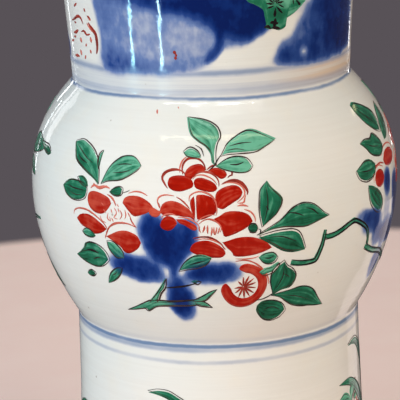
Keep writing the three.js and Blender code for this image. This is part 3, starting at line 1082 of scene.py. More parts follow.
hangingLeaves = {"leaves": [
    shape((20.6, 156), [(19.2, 161), (19.8, 165), (21.8, 167.2)],
          (24.2, 168.8), [(25.4, 166.7), (27.7, 165.1), (29.2, 163), (29.4, 161), (27.6, 158.3),
          (24, 157.6)], 0.78, [(0.4, 0.8, [(24, 167.6), (24, 162.4), (21.6, 157.4)]),
          (0.35, 0.6, [(24, 163.6), (27, 161.6)])]),
    shape((19.6, 155.2), [(24, 155.8), (28, 156.3), (32, 157), (36, 156.2), (39, 154.2),
          (41.2, 151.6), (43, 149.6)],
          (45.8, 146.9), [(42, 147.2), (38, 147.9), (34, 148.4), (30, 149.6), (27, 151.4), (23.8, 153.8)],
          0.66, [(0.35, 0.6, [(24, 154.8), (31, 153.2), (38, 150.4)])]),
    shape((15.4, 151.2), [(17.2, 152.7), (20, 153.1), (23, 152.3), (25.6, 150.8)],
          (27.5, 147.9), [(25.2, 145.1), (21.6, 144.1), (18.3, 144.9), (16.2, 147), (15.1, 149.2)], 0.82,
          [(0.4, 0.8, [(17.4, 149), (21, 150.2), (24.6, 148.4)])]),
    shape((15.2, 164.6), [(17.2, 166), (19.4, 166.4), (21.6, 167.6)],
          (22.8, 167.9), [(20.8, 164.8), (18.6, 163.9), (16.8, 163.4)], 0.3),
], "lines": [
    (0.4, 0.7, [(13.6, 153.6), (17, 154), (20, 155.4), (21.4, 157)]),
]}
openRing = {"rings": [
    {"centre": (9, 160.2), "outer": 8.9, "hole": (9.4, 160.1), "inner": 5.1,
     "turn": (105, -190), "tone": 0.5},
], "sketch": [
    (0.45, 0.4, [(6, 170), (10, 170.1), (14, 168.1), (17.6, 164), (18.7, 160)]),
    *spokes(9, 159.8, (
        (-3.1, 3.4), (-2.6, 4), (-2.1, 4.6), (-1.6, 4.8), (-1.15, 4.9), (-0.75, 4.9), (-0.3, 4.8),
        (0.15, 4.7), (0.55, 4.8), (1, 4.6), (1.5, 3.8), (2.2, 3),
    ), width=0.5, tone=0.8, gap=0.2, twist=0.12),
]}
cobaltLeaves = {"washes": [
    oval((-23.3, 181.3), (4.8, 6.4), 0.78, 2.7, 8), oval((-12.9, 179.6), (5.1, 5.6), 0.76, 2.7, -14),
    oval((-10.4, 180), (2, 4.6), 0.75, 2.4, -14), oval((-18.2, 176.6), (8, 5.6), 0.62, 3),
    pool([(-25.7, 176.2), (-22.4, 171), (-19.1, 167.2), (-16.9, 163.6), (-14.9, 167.2), (-13.2, 171),
        (-11.2, 175), (-18, 179)], 0.74, 2.7),
    oval((-18.6, 173), (4, 6), 0.62, 3.4), oval((-30.3, 167), (9.8, 4.5), 0.76, 2.8, -8),
    oval((-29.6, 165.8), (7.2, 2.5), 0.78, 3, -10), oval((-3.2, 165.8), (8.8, 3.8), 0.8, 3, 3),
    oval((-0.8, 165.6), (6, 2.4), 0.9, 2.6, 4), oval((-14.8, 155), (4.9, 7.2), 0.78, 3, 6),
    oval((-14.5, 152.2), (3.6, 4.4), 0.76, 3), oval((-16.6, 161.6), (3, 3), 0.44, 2.6),
    oval((-19.5, 165.6), (1.3, 2.8), -0.85, 1.7, 24), oval((-13.5, 166.6), (1.1, 2.2), -0.75, 1.7, -24),
]}
branch = {"leaves": [
    shape((-14.6, 166.4), [(-12.6, 169.6), (-9.5, 172.1), (-6, 172.6)],
          (-2.8, 171.4), [(-4, 169.4), (-7, 167.9), (-11, 167.2)], 0.55,
          [(0.5, 0.9, [(-10.4, 169.2), (-7.4, 170), (-4.8, 170.6)])]),
    shape((-39.6, 148.4), [(-33.8, 151), (-29.5, 153.1), (-26.5, 154), (-17.5, 154.2), (-10.2, 155)],
          (-6.2, 155.4), [(-8.4, 152.8), (-17.8, 152.1), (-25.2, 151.4), (-29.6, 149), (-31, 150),
          (-35, 149.2)], 0.36, outline=0.6),
    shape((-28.4, 152.6), [(-24.8, 156.4), (-22.7, 159)],
          (-19.6, 163.4), [(-20.5, 159.6), (-22.6, 157), (-24.6, 153.6)], 0.45, outline=0.7),
    shape((-10.8, 154.4), [(-6.9, 156.3), (-3.6, 158.2)],
          (-0.9, 159.2), [(-3.6, 156.4), (-6.2, 154.4)], 0.4, outline=0.6),
    shape((-9.6, 154.2), [(-6.4, 154.2)], (-2.9, 151.6), [(-6, 152), (-8.8, 152.6)], 0.4, outline=0.6),
    shape((-9.6, 161.9), [(-8.2, 162.6)], (-6.6, 162.4), [(-8, 161.2)], 0.7, outline=0.5),
], "lines": [
    (0.7, 0.95, [(-20.4, 159.6), (-14, 160.4), (-8.4, 161.7)]),
    (0.7, 0.95, [(-26, 153.2), (-17.6, 153.8), (-10.4, 154.6)]),
]}
reachingTwig = {"twigs": [
    (2.2, [(26.8, 167.4), (32, 166.4), (36.9, 166.6), (37.2, 166.9), (39.4, 172), (40.5, 177.6)]),
    (2.1, [(40, 174.9), (44.6, 174.9), (50, 176.6), (54.3, 178.3), (54.7, 178.3), (58, 176.8),
        (62.8, 173.6), (64.6, 170), (65, 166)]),
    (2.4, [(63.6, 166.3), (70, 163.2), (80, 160.2), (88, 156.4), (96, 152.6)]),
]}
leftTips = {"sketch": [
    (0.5, 0, [(-25.4, 221.6), (-24.8, 220.3)]), (0.3, 0, [(-16, 222.6), (-15.4, 222)]),
], "leaves": [
    shape((-106, 199), [(-103, 204), (-97.4, 206.6), (-91, 205.6)],
          (-85.2, 204.8), [(-85, 202.2), (-94.7, 199.3), (-101, 198.2)], 0.6,
          [(0.5, 0.8, [(-98, 204), (-94, 203), (-88, 202.6)])]),
    shape((-89, 204.8), [(-83.3, 205), (-79.6, 204.8)],
          (-76.6, 203.2), [(-79, 202.1), (-83.1, 202.8)], 0.9),
    shape((-104, 196.8), [(-98.4, 197.3), (-94.2, 195.4)],
          (-90.8, 191.6), [(-95, 191.4), (-99.6, 192.6), (-103, 194.4)], 0.8,
          [(0.4, 0.8, [(-101, 196), (-97, 195), (-93, 192.8)])]),
]}
sideLeaves = {"leaves": [
    shape((83.4, 205), [(84.6, 208), (84.4, 212), (81, 214.2), (76, 216), (72, 217)],
          (69.2, 216.2), [(70, 213.4), (72.4, 210.4), (76, 207.8), (80, 205.8)], 0.72,
          [(0.4, 0.7, [(71.6, 215), (76, 211.8), (81, 207.6)])]),
    shape((80, 201), [(79, 202.8), (77, 204.7), (74, 206.2), (71, 204.9), (67, 205.2)],
          (63.2, 204.4), [(66, 202.3), (68.5, 199.8), (72, 198.3), (76, 197.8), (79, 199.3)], 0.68,
          [(0.4, 0.7, [(66.4, 203.8), (71, 202), (76, 201.2)])]),
    shape((69.6, 195.6), [(66.5, 197.6), (63, 198), (60, 196.9)],
          (56.8, 195.4), [(58.4, 192.4), (62, 190.8), (65, 190.8), (68, 191.9), (69.4, 193.4)], 0.7,
          [(0.5, 0.8, [(60, 195), (64, 194.4), (67.6, 194.6)])]),
    shape((73, 177.6), [(70.4, 177.6), (67.3, 179.3), (64.8, 182), (63.8, 185)],
          (63.2, 188.4), [(66, 187.7), (70, 185.7), (73, 183), (74.2, 180)], 0.72,
          [(0.5, 0.8, [(65.2, 186), (68, 182.4), (71.6, 179.4)])]),
    shape((84.6, 202.4), [(85, 206), (87, 209.6), (90.4, 212.4)],
          (95, 214.2), [(95.4, 210), (93, 206), (89, 203)], 0.72,
          [(0.4, 0.7, [(86.4, 204), (89.6, 207.6), (93.4, 211.6)])]),
], "petals": [
    shape((68.6, 190), [(69.6, 192.4), (72.6, 193.4), (75.6, 192)],
          (76.6, 189.6), [(75, 187.4), (72.2, 186.6), (69.6, 187.8)], 0.6),
    shape((77.4, 195.6), [(80, 198), (84.4, 198.8), (89, 197.8)],
          (91, 195.4), [(88, 193.2), (83.4, 192.4), (79, 193.4)], 0.5),
], "sketch": [
    (0.5, 0.6, [(66.8, 196), (70, 194.9), (74, 195.3), (77.6, 194.4)]),
    (0.4, 0.3, [(76.6, 197.4), (79.6, 199.8), (84.6, 200.4), (89.6, 199.2), (92.4, 196.4)]),
    (0.4, 0.3, [(67.6, 189.2), (68.4, 193), (72, 194.8), (76, 193.6)]),
], "washes": [
    oval((79.4, 187.4), (3.2, 4.4), 0.8, 1.8), oval((61.4, 178), (4.6, 2.4), 0.42, 1.9, -12),
    oval((67.2, 175.2), (6.4, 4.4), 0.66, 2.1), oval((71.6, 169.4), (3.8, 4.6), 0.5, 2),
    oval((78, 156.4), (4.8, 6), 0.62, 2.2), oval((79.6, 175), (4, 9.6), 0.24, 2.4),
]}
tallRock = {"washes": [
    pool([(-61, 258), (-59, 250), (-58.4, 240), (-57, 234.5), (-52, 233), (-40, 232.7), (-20, 233.2),
        (-5, 236.4), (0.6, 240), (3.4, 242.5), (10, 242.3), (17, 244), (25, 248.5), (27, 253), (24, 257),
        (18, 260), (14, 270), (6, 279), (-4, 284), (-16, 281), (-26, 287), (-38, 290), (-47, 281),
        (-52, 270)], 0.36, 2.4),
    oval((-24, 246.6), (26, 9.4), -0.26, 5, -5), oval((-6, 245.6), (9, 5.4), -0.12, 3, -14),
    oval((13.6, 254.6), (14.6, 8.6), 0.93, 3, -6), oval((20, 252.4), (6, 5), 0.85, 3),
    oval((-8, 259.6), (38, 4.6), 0.86, 3, -5), oval((-3.6, 255.4), (7, 3.4), 0.7, 2.6, -14),
    pool([(0, 253), (5.4, 252), (5, 246), (3.6, 241.6), (-1.4, 238.6), (-3, 239.4), (0.6, 242.4),
        (2, 246), (1, 250.4)], 0.8, 1.6),
    oval((-51, 236.6), (7, 4), 0.24, 4), oval((-26, 235.6), (28, 3), 0.1, 3),
    oval((-30, 270), (20, 7), -0.5, 4), oval((-4, 272), (9, 10), 0.7, 5),
    oval((-42, 280), (8, 9), 0.7, 5),
], "sketch": [
    (0.9, 0.8, [(-17.8, 241.8), (-16.4, 241)]), (0.8, 0.7, [(-17.4, 239.6), (-16.2, 239.2)]),
    (0.8, 0.7, [(-16.8, 240.8), (-16.2, 240)]),
]}
sideRock = {"washes": [
    pool([(30.8, 237.6), (34.6, 242.6), (41, 247.4), (47.6, 253), (53, 258.6), (56, 270), (58, 280),
        (66, 284), (76, 279), (84, 268), (90, 255), (92, 242), (90, 237), (74, 235.6), (60, 234.2),
        (40, 234)], 0.42, 2.8),
    oval((35, 238.8), (4, 3.4), 0.4, 3), oval((41, 236.5), (10, 2.4), 0.3, 2.4),
    oval((50, 248), (8, 12), 0.2, 4, -16), oval((71.4, 255), (15, 17), 0.84, 6),
    oval((60, 240.6), (12, 5.6), 0.6, 4), oval((76, 243), (13, 7), 0.8, 4),
    oval((56, 272), (6, 6), -0.3, 4), oval((66, 276), (10, 7), 0.6, 4),
    oval((46.6, 238.6), (2.1, 1.6), -0.85, 2.2),
]}
moss = {"leaves": [
    shape((14, 262), [(17, 269), (24, 274), (33, 275), (42, 271), (48, 264)],
          (46.5, 257.2), [(40.6, 253.7), (35.1, 251.6), (34.6, 250.5), (35.6, 249.1), (32.5, 248),
          (29.4, 248.6), (25.6, 249), (25.6, 250.8), (24.9, 253.3), (24, 255.8), (20.1, 257.8),
          (17, 259)], 0.42, outline=0),
], "lines": [
    (1.6, 1, [(29.3, 256.3), (25.9, 255.5)]), (1.8, 1, [(30.4, 255.9), (33.7, 253.4)]),
    (1.5, 1, [(31.3, 256.6), (34.4, 255.4)]), (1.7, 1, [(29.9, 255.4), (29.8, 252.3)]),
    (1.6, 1, [(30.1, 251.8), (29.8, 250), (29.3, 248.7)]),
    (1.3, 1, [(24.6, 248.9), (26.4, 249.2), (27.9, 248.2)]),
    (1.3, 1, [(28.4, 248.7), (30.2, 248.4), (32.6, 248)]), (1.1, 1, [(29.4, 250.6), (27.4, 250.3)]),
    (1, 1, [(30.2, 249.7), (31.6, 250.2)]), *tuft(29.8, 256.9, 4.4, (150, 176, 122, 92, 62, 34, 8)),
    (1.7, 1, [(39.6, 256), (39, 258)]), (1.8, 1, [(40.6, 257.6), (43.4, 255.5)]),
    *tuft(40, 258, 3.6, (15, 50, 85, 120, 155)),
    *tuft(22.6, 264.4, 3.4, (130, 165, 200, 240, 280, 320, 0, 45, 90)),
    *tuft(34, 267.4, 3.8, (140, 180, 215, 250, 290, 330, 10, 50, 95)),
]}
bareGround = {"sketch": [
    (0.8, 0.75, [(-84, 249.2), (-80, 250.2), (-77, 251.2), (-74, 251.3), (-72, 250.2), (-71, 248.8)]),
    (0.6, 0.7, [(-81, 248.8), (-78.6, 248.7)]), (0.8, 0.8, [(-83.6, 244.8), (-81, 245), (-77, 246.2)]),
    (0.7, 0.8, [(-84, 243.2), (-81, 243.4)]), (0.6, 0.6, [(-89, 241), (-84.6, 241.8)]),
    (0.8, 0.5, [(-85.4, 236), (-82, 236.3), (-79, 236.3)]), (0.9, 0.5, [(-71.2, 246.2), (-69, 245.6)]),
    (0.6, 0.75, [(-74, 245.8), (-71, 246.4), (-69, 245.2), (-65.6, 245.7)]),
    (0.8, 0.8, [(-66.6, 252.2), (-64, 251.2)]), (0.8, 0.4, [(-65.6, 251.4), (-63.8, 251)]),
    (1.1, 0.85, [(-66.2, 249.8), (-64.6, 248.6), (-62.6, 247.2), (-61, 245.8), (-60.6, 242.6),
        (-61, 240.4), (-61.9, 238.8)]),
    (0.6, 0.1, [(-67.6, 249.6), (-65.2, 247.8), (-63, 246.6)]),
    (1, 0.2, [(-65.6, 244.6), (-65.2, 242.6)]), (1.2, 0.2, [(-76, 243.4), (-74.4, 242)]),
    (0.9, 0.5, [(-67, 239.8), (-66.2, 238.6)]), (0.7, 0.4, [(-71, 240.8), (-69.6, 241.8)]),
    (0.7, 0.3, [(-72.8, 236), (-71.6, 237.4)]), (1, 0.15, [(-77.2, 239), (-76, 237)]),
    (0.6, 0.6, [(-79.4, 254.6), (-75.4, 256.2)]), (0.7, 0.6, [(-68.8, 254.8), (-67.8, 253.6)]),
    (0.7, 0.6, [(-86, 258), (-81, 261), (-76, 262), (-71, 260)]),
    (0.7, 0.6, [(-70, 264), (-74, 268), (-80, 269), (-86, 266)]),
]}
archingLeaves = {"leaves": [
    shape((1, 60), [(-2.4, 88), (-10.4, 107), (-22.6, 115.2), (-30, 116.6)],
          (-36.6, 115.4), [(-30, 114.6), (-24, 112.2), (-15.6, 104), (-8, 88), (-3.4, 60)], 0.75,
          [(0.4, 0.7, [(-0.8, 66), (-5, 88), (-13, 105), (-25, 114.2)])]),
    shape((7, 60), [(15, 80), (26, 94), (38, 101.4)],
          (50, 104.4), [(36, 105), (24, 98.4), (11.6, 84), (2.6, 60)], 0.62,
          [(0.4, 0.7, [(6, 66), (14, 83), (26, 96.6), (40, 103)])]),
    shape((-1, 60), [(-9, 80), (-20, 94), (-34, 101.6)],
          (-46.4, 101.4), [(-34, 98), (-23.6, 90), (-14.4, 77), (-5.4, 60)], 0.66,
          [(0.4, 0.7, [(-4, 66), (-12.4, 79), (-23, 92.4), (-36, 99.8)])]),
    shape((0.4, 60), [(1, 84), (5.6, 98)], (14.4, 110.6), [(11.4, 98), (6.4, 84), (4.4, 60)], 0.42,
          [(0.4, 0.7, [(2.6, 66), (4, 86), (10, 101)])]),
    shape((-3, 60), [(-16, 70), (-30, 72), (-42, 66)],
          (-52, 56.4), [(-41, 61), (-30, 66), (-17, 63.6), (-5, 56)], 0.5,
          [(0.4, 0.7, [(-10, 64), (-28, 69), (-44, 61.6)])]),
    shape((4, 60), [(16, 70), (30, 71), (41, 63)],
          (48, 52), [(38, 58.6), (28, 65), (17, 63.4), (5, 56)], 0.56,
          [(0.4, 0.7, [(10, 64), (27, 68), (40, 59.4)])]),
]}
lowRock = {"washes": [
    pool([(-34, 20), (-33, 30), (-25, 36), (-21, 45), (-12, 49), (-7, 57), (3, 60), (10, 54), (15, 44),
        (24, 40), (28, 31), (38, 26), (40, 20), (18, 17), (-14, 17.4)], 0.5, 2),
    oval((-12, 32), (12, 7), -0.5, 4), oval((4, 48), (7, 9), 0.6, 4), oval((22, 28), (12, 6), 0.5, 4),
    oval((-24, 24), (9, 5), 0.5, 3),
], "lines": [
    (1.1, 1, [(-2, 40), (0.6, 37.4)]), (1.1, 1, [(1.4, 41), (1.6, 37.6)]),
    (1.1, 1, [(5, 40.4), (2.6, 37.4)]), (1.1, 1, [(16, 33), (18.4, 30.8)]),
    (1.1, 1, [(19.6, 34), (19.4, 30.8)]), (1.1, 1, [(23, 33), (20.6, 30.6)]),
]}


def slipped(move, leaf):
    # The green lies a little beside its outline, as a quick brush leaves it
    at = leaf["over"][0]
    away, rise = wobble((at[0] * brush["slipFineness"], at[1] * brush["slipFineness"], 1.7))

    def beside(point):
        place = move(point)
        return place[0] + away * brush["slip"], place[1] + rise * brush["slip"]
    return beside


def addLine(zone, kind, points, width, move, lift, tone):
    addStroke(
        paintMesh(zone, kind), points, width, move, brush[lift], brush["lineDome"], tone, brush["taper"],
    )


def addTwig(zone, points, width, move):
    addStroke(
        paintMesh(zone, "leaves"), points, width * move.scale, move,
        brush["leafLift"], brush["leafDome"], 0.5, brush["twigTaper"],
    )
    path = smoothPath(points, max(4, round(lengthOf(points) / 3)))
    ways = waysAlong(path)
    narrowing = np.linspace(1, brush["twigEnd"], len(path))[:, None]
    edgeWidth = brush["twigEdge"] * math.sqrt(move.scale)
    for side in (-1, 1):
        reach = narrowing * side * width * brush["twigHalf"]
        edge = path + np.stack([-ways[:, 1], ways[:, 0]], axis=1) * reach
        addLine(zone, "brownLines", [tuple(p) for p in edge], edgeWidth, move, "veinLift", 1.0)


def paintMotif(zone, motif, move=asDrawn):
    size = math.sqrt(move.scale)
    for leaf in motif.get("leaves", ()):
        addBlade(paintMesh(zone, "leaves"), leaf, slipped(move, leaf), brush["leafLift"], brush["leafDome"])
        if leaf["outline"]:
            for edge, tone in (("over", 0.6), ("under", 0.45)):
                addLine(zone, "brownLines", leaf[edge], leaf["outline"] * size, move, "lineLift", tone)
        for width, tone, points in leaf["veins"]:
            addLine(zone, "brownLines", points, width * size, move, "veinLift", tone)
    for petal in motif.get("petals", ()):
        addBlade(paintMesh(zone, "petals"), petal, move, brush["petalLift"], brush["petalDome"])
    for ring in motif.get("rings", ()):
        addRing(paintMesh(zone, "petals"), ring, move, brush["petalLift"], brush["petalDome"])
    for width, tone, points in motif.get("sketch", ()):
        addLine(zone, "redLines", points, width * size * brush["sketch"], move, "redLift", tone)
    for width, tone, points in motif.get("lines", ()):
        addLine(zone, "brownLines", points, width * size, move, "lineLift", tone)
    for width, points in motif.get("twigs", ()):
        addTwig(zone, points, width, move)
    for wash in motif.get("washes", ()):
        addWash(wash, move)


# The belly: the spray at the front as drawn, and one at each side and at the back
flowers = (cobaltLeaves, sideBloom, peony, topLeaves, openRing)
greens = (branch, twinLeaves, lowLeaves, fanLeaves, hangingLeaves)
bellyLayout = (
    (asDrawn, (*flowers, *greens, reachingTwig, sideLeaves)),
    (placing(at=(114, 1)), (cobaltLeaves, peony, topLeaves, openRing, fanLeaves, hangingLeaves)),
    (placing(about=(-9, 185), at=(203, 185), scale=0.9, mirror=True), (*flowers, *greens)),
    (placing(at=(-129, 2)), (*flowers, branch, twinLeaves, lowLeaves, hangingLeaves)),
    (asDrawn, (leftTips,)),
)
for move, drawn in bellyLayout:
    for motif in drawn:
        paintMotif("belly", motif, move)
addTwig("belly", [(-104, 172), (-96, 174.6), (-86, 176)], 1.6, asDrawn)

# The neck: rocks and moss all round its foot, and three sprays that grow from them
backRocks = placing(at=(205, 0), mirror=True)
for motif in (tallRock, sideRock, moss, bareGround):
    paintMotif("neck", motif)
    paintMotif("neck", motif, backRocks)
paintMotif("neck", sideRock, placing(about=(60, 234), at=(-122, 234), scale=0.9, mirror=True))
spray = {"height": 308, "scale": 1.15, "lean": 34, "sprigAside": 74, "sprigHeight": 352, "sprigScale": 1.1}
for middle, mirror in ((-26, False), (120, True), (267, False)):
    move = placing(
        about=(-14, 166), at=(middle, spray["height"]), scale=spray["scale"],
        turn=spray["lean"] * (-1 if mirror else 1), mirror=mirror,
    )
    for motif in (*flowers, *greens):
        paintMotif("neck", motif, move)
    addTwig("neck", [(middle + 4, 276), (middle - 3, 288), (middle + 2, 297), (middle, 306)], 3, asDrawn)
    sprig = (middle + spray["sprigAside"], spray["sprigHeight"])
    move = placing(about=(-45, 190), at=sprig, scale=spray["sprigScale"], mirror=mirror)
    for motif in (twinLeaves, sideBloom):
        paintMotif("neck", motif, move)

# The foot: four clumps of arching leaves, each behind its own rocks and with blooms beside it
clump = {
    "bloomAside": 31, "bloomHeight": 79, "bloomScale": 0.62,
    "budAside": 27, "budHeight": 84, "budScale": 0.8,
}
for middle, rise, rocks in (
    (0, 0, ((lowRock, placing()),)),
    (112, 7.5, ((tallRock, placing(about=(-16, 233), at=(112, 18), scale=0.76, mirror=True)),)),
    (213, 2, (
        (sideRock, placing(about=(60, 233), at=(209, 18), scale=0.86)),
        (sideRock, placing(about=(60, 233), at=(239, 17), scale=0.5, mirror=True)),
    )),
    (-126, -4, ((tallRock, placing(about=(-16, 233), at=(-126, 18), scale=0.76)),)),
):
    mirror = middle > 100
    side = -1 if mirror else 1
    paintMotif("foot", archingLeaves, placing(at=(middle, rise)))
    for rock, move in rocks:
        paintMotif("foot", rock, move)
    bloomAt = (middle + clump["bloomAside"] * side, clump["bloomHeight"] + rise)
    bloom = placing(about=(-5, 186), at=bloomAt, scale=clump["bloomScale"], mirror=mirror)
    budAt = (middle - clump["budAside"] * side, clump["budHeight"] + rise)
    bud = placing(about=(-45, 190), at=budAt, scale=clump["budScale"], mirror=mirror)
    for motif, move in ((peony, bloom), (topLeaves, bloom), (sideBloom, bud), (twinLeaves, bud)):
        paintMotif("foot", motif, move)

paints = {
    "leaves": (greenEnamel, "green_enamel"),
    "petals": (redEnamel, "red_enamel"),
    "redLines": (redLine, "red_enamel"),
    "brownLines": (darkLine, "dark_line"),
}
for kind, (material, slot) in paints.items():
    for zone in ("neck", "belly", "foot"):
        mesh = paintMeshes[zone, kind]
        bmesh.ops.remove_doubles(mesh, verts=mesh.verts, dist=brush["weld"] * mm)
        mesh.normal_update()
        inward = [
            face for face in mesh.faces
            if face.normal.dot(Vector((*face.calc_center_median().xy, 0))) < 0
        ]
        bmesh.ops.reverse_faces(mesh, faces=inward)
        piece = finishPiece(zone + kind[0].upper() + kind[1:], mesh, material, slot)
        coat = piece.modifiers.new("coat", "SOLIDIFY")
        coat.thickness = brush["coat"] * mm
        coat.offset = -1
        if zone == "belly" and kind == "leaves":
            keepCobalt(piece.data, cobaltAt(pointsOf(piece.data)))

print("stage: turned walls and slip")
turning = {
    "sides": 448,
    "bellySides": 512,
    "slipSides": 192,
    "sectors": 16,
    "row": 1.05,              # height of a row of faces on the outside
    "bellyRow": 0.75,         # the belly's rows, as a share of that
    "insideRow": 4.0,
    "lipSteps": 12,
    "beadSteps": 14,
    "seatSteps": 8,
    "ringSteps": 6,
    "rimSteps": 4,
    "discSteps": 15,
    "discInside": 4,          # where the disc's inmost ring of faces ends
    "paintedDepth": 0.5,      # this far behind the glazed face a point still takes cobalt
    "weld": 0.005,
    "sharp": 50,              # degrees from which an edge isn't smoothed
}


def wallRows(radius, start, end, row):
    count = max(2, round(abs(end - start) / row))
    return [(radius(h), h) for h in np.linspace(start, end, count + 1)]


def arc(centre, reach, start, end, steps):
    # Points of radius and height on a circle, from one angle to another
    return [
        (centre[0] + reach * math.cos(a), centre[1] + reach * math.sin(a))
        for a in np.linspace(math.radians(start), math.radians(end), steps + 1)
    ]


def turnedMesh(outline, sides, closed=True):
    # One sector is spun and then repeated round the axis
    mesh = bmesh.new()
    corners = [mesh.verts.new((radius * mm, 0, height * mm)) for radius, height in outline]
    pairs = list(zip(corners, corners[1:]))
    if closed:
        pairs.append((corners[-1], corners[0]))
    edges = [mesh.edges.new(pair) for pair in pairs]
    sector = 2 * math.pi / turning["sectors"]
    bmesh.ops.spin(
        mesh, geom=corners + edges, cent=(0, 0, 0), axis=(0, 0, 1), dvec=(0, 0, 0),
        angle=sector, steps=sides // turning["sectors"], use_merge=False, use_duplicate=False,
    )
    first = mesh.verts[:] + mesh.edges[:] + mesh.faces[:]
    for number in range(1, turning["sectors"]):
        copied = bmesh.ops.duplicate(mesh, geom=first)["geom"]
        verts = [part for part in copied if isinstance(part, bmesh.types.BMVert)]
        bmesh.ops.rotate(mesh, verts=verts, cent=(0, 0, 0), matrix=Matrix.Rotation(number * sector, 3, "Z"))
    bmesh.ops.remove_doubles(mesh, verts=mesh.verts, dist=turning["weld"] * mm)
    bmesh.ops.recalc_face_normals(mesh, faces=mesh.faces)
    for edge in mesh.edges:
        edge.smooth = edge.calc_face_angle(0) < math.radians(turning["sharp"])
    return mesh


def glazedPiece(name, outline, node, sides):
    piece = finishPiece(name, turnedMesh(outline, sides), glazedPorcelain, "glazed_porcelain", (node,))
    data = piece.data
    points = pointsOf(data)
    angle = np.arctan2(points[:, 0], -points[:, 1])
    radius = np.hypot(points[:, 0], points[:, 1])
    painted = radius > np.array([glazedRadius(h) for h in points[:, 2]]) - turning["paintedDepth"]
    wash = np.zeros(len(points))
    wash[painted] = cobaltAt(points[painted])
    moved = (radius + thrownOff(angle, points[:, 2])) / radius
    points[:, :2] *= moved[:, None]
    data.vertices.foreach_set("co", (points * mm).ravel())
    keepCobalt(data, wash)
    data.update()


def glazeBack(joint):
    return glazedRadius(joint) - form["glazeCoat"]


def neckOutline():
    lipBase = mouthHeight - lipRadius
    outside = wallRows(glazedRadius, upperJoint, lipBase, turning["row"])
    lip = arc((mouthRadius - lipRadius, lipBase), lipRadius, 0, 180, turning["lipSteps"])[1:]
    bottom = upperJoint + halfSlip
    inside = wallRows(neckInside, lipBase, bottom, turning["insideRow"])[1:]
    back = glazeBack(upperJoint)
    return [*outside, *lip, *inside, (back, bottom), (back, upperJoint)]


def bellyOutline():
    top = upperJoint - halfSlip
    bottom = lowerJoint + halfSlip
    outside = wallRows(glazedRadius, lowerJoint, upperJoint, turning["row"] * turning["bellyRow"])
    inside = wallRows(bellyInside, top, bottom, turning["insideRow"])
    above, below = glazeBack(upperJoint), glazeBack(lowerJoint)
    return [*outside, (above, upperJoint), (above, top), *inside, (below, bottom), (below, lowerJoint)]


seatWall = discHigh.x + form["baseEdgeClearance"]
ringInside = discHigh.x - form["baseSeatWidth"]


def footOutline():
    rounding = form["ringRounding"]
    outside = wallRows(glazedRadius, rounding, lowerJoint, turning["row"])
    steps = turning["ringSteps"]
    inner = arc((ringInside + rounding, rounding), rounding, 180, 270, steps)
    outer = arc((standingRadius - rounding, rounding), rounding, 270, 360, steps)
    top = lowerJoint - halfSlip
    back = glazeBack(lowerJoint)
    inside = wallRows(footInside, top, discHigh.z, turning["insideRow"])
    seat = [(seatWall, baseSlipLow.z), (ringInside, baseSlipLow.z)]
    return [*inner, *outer[:-1], *outside, (back, lowerJoint), (back, top), *inside, *seat]


def slipOutline(joint, insideAbove, insideBelow, low, high):
    # A thin ring in the joint, with the bead that was squeezed out on the inside
    bottom = joint - halfSlip
    top = joint + halfSlip
    outer = glazeBack(joint) - form["slipGap"]
    wall = min(insideAbove(top), insideBelow(bottom))
    back = min(wall, insideAbove(high), insideBelow(low)) - form["beadClearance"]
    bulge = [
        (back - form["beadWidth"] * math.sin(a), joint + (high - low) / 2 * math.cos(a))
        for a in np.linspace(0, math.pi, turning["beadSteps"] + 1)
    ]
    return [(outer, bottom), (outer, top), (back, top), *bulge, (back, bottom)]


def baseSlipOutline():
    bead = form["seatBead"]
    middle = (baseSlipLow.z + baseSlipHigh.z) / 2
    bulge = arc((ringInside + bead, middle), bead, 270, 90, turning["seatSteps"])
    return [(discHigh.x, baseSlipLow.z), *bulge, (discHigh.x, baseSlipHigh.z)]


def discOutline():
    low, top = discLow.z, discHigh.z
    edge, rounding = discHigh.x, form["discRounding"]
    flat = edge - rounding
    inmost, steps = turning["discInside"], turning["discSteps"]
    under = [(r, low) for r in np.linspace(inmost, flat, steps + 1)]
    rim = arc((flat, top - rounding), rounding, 0, 90, turning["rimSteps"])
    over = [(r, top) for r in np.linspace(flat - inmost, inmost, steps)]
    return [(0, low), *under, (edge, low), *rim, *over, (0, top)]


glazedPiece("neckGlaze", neckOutline(), "neck_section", turning["sides"])
glazedPiece("bellyGlaze", bellyOutline(), "belly_section", turning["bellySides"])
glazedPiece("footGlaze", footOutline(), "foot_section", turning["sides"])
neckSlip = slipOutline(upperJoint, neckInside, bellyInside, neckSlipLow.z, neckSlipHigh.z)
footSlip = slipOutline(lowerJoint, bellyInside, footInside, footSlipLow.z, footSlipHigh.z)
for name, outline, node in (
    ("neckSlip", neckSlip, "neck_slip_seam"),
    ("footSlip", footSlip, "foot_slip_seam"),
    ("baseSlip", baseSlipOutline(), "base_slip_seam"),
):
    finishPiece(name, turnedMesh(outline, turning["slipSides"]), firedSlip, "fired_slip", (node,))
disc = turnedMesh(discOutline(), turning["slipSides"], closed=False)
finishPiece("baseDisc", disc, barePorcelain, "bare_porcelain", ("base_disc",))

print("stage: table, light and camera")
stageLook = {
    "tableRadius": 0.582,
    "tableFade": 0.012,
    "tableDrop": 0.0002,
    "tableSides": 96,
    "lift": 0.2,
    "table": paint(242, 218, 209),
    "shade": paint(230, 202, 193),
    "shadeShare": 0.25,
    "weave": (30.0, 0.2, 0.8),
    "wall": paint(88, 82, 87),
}


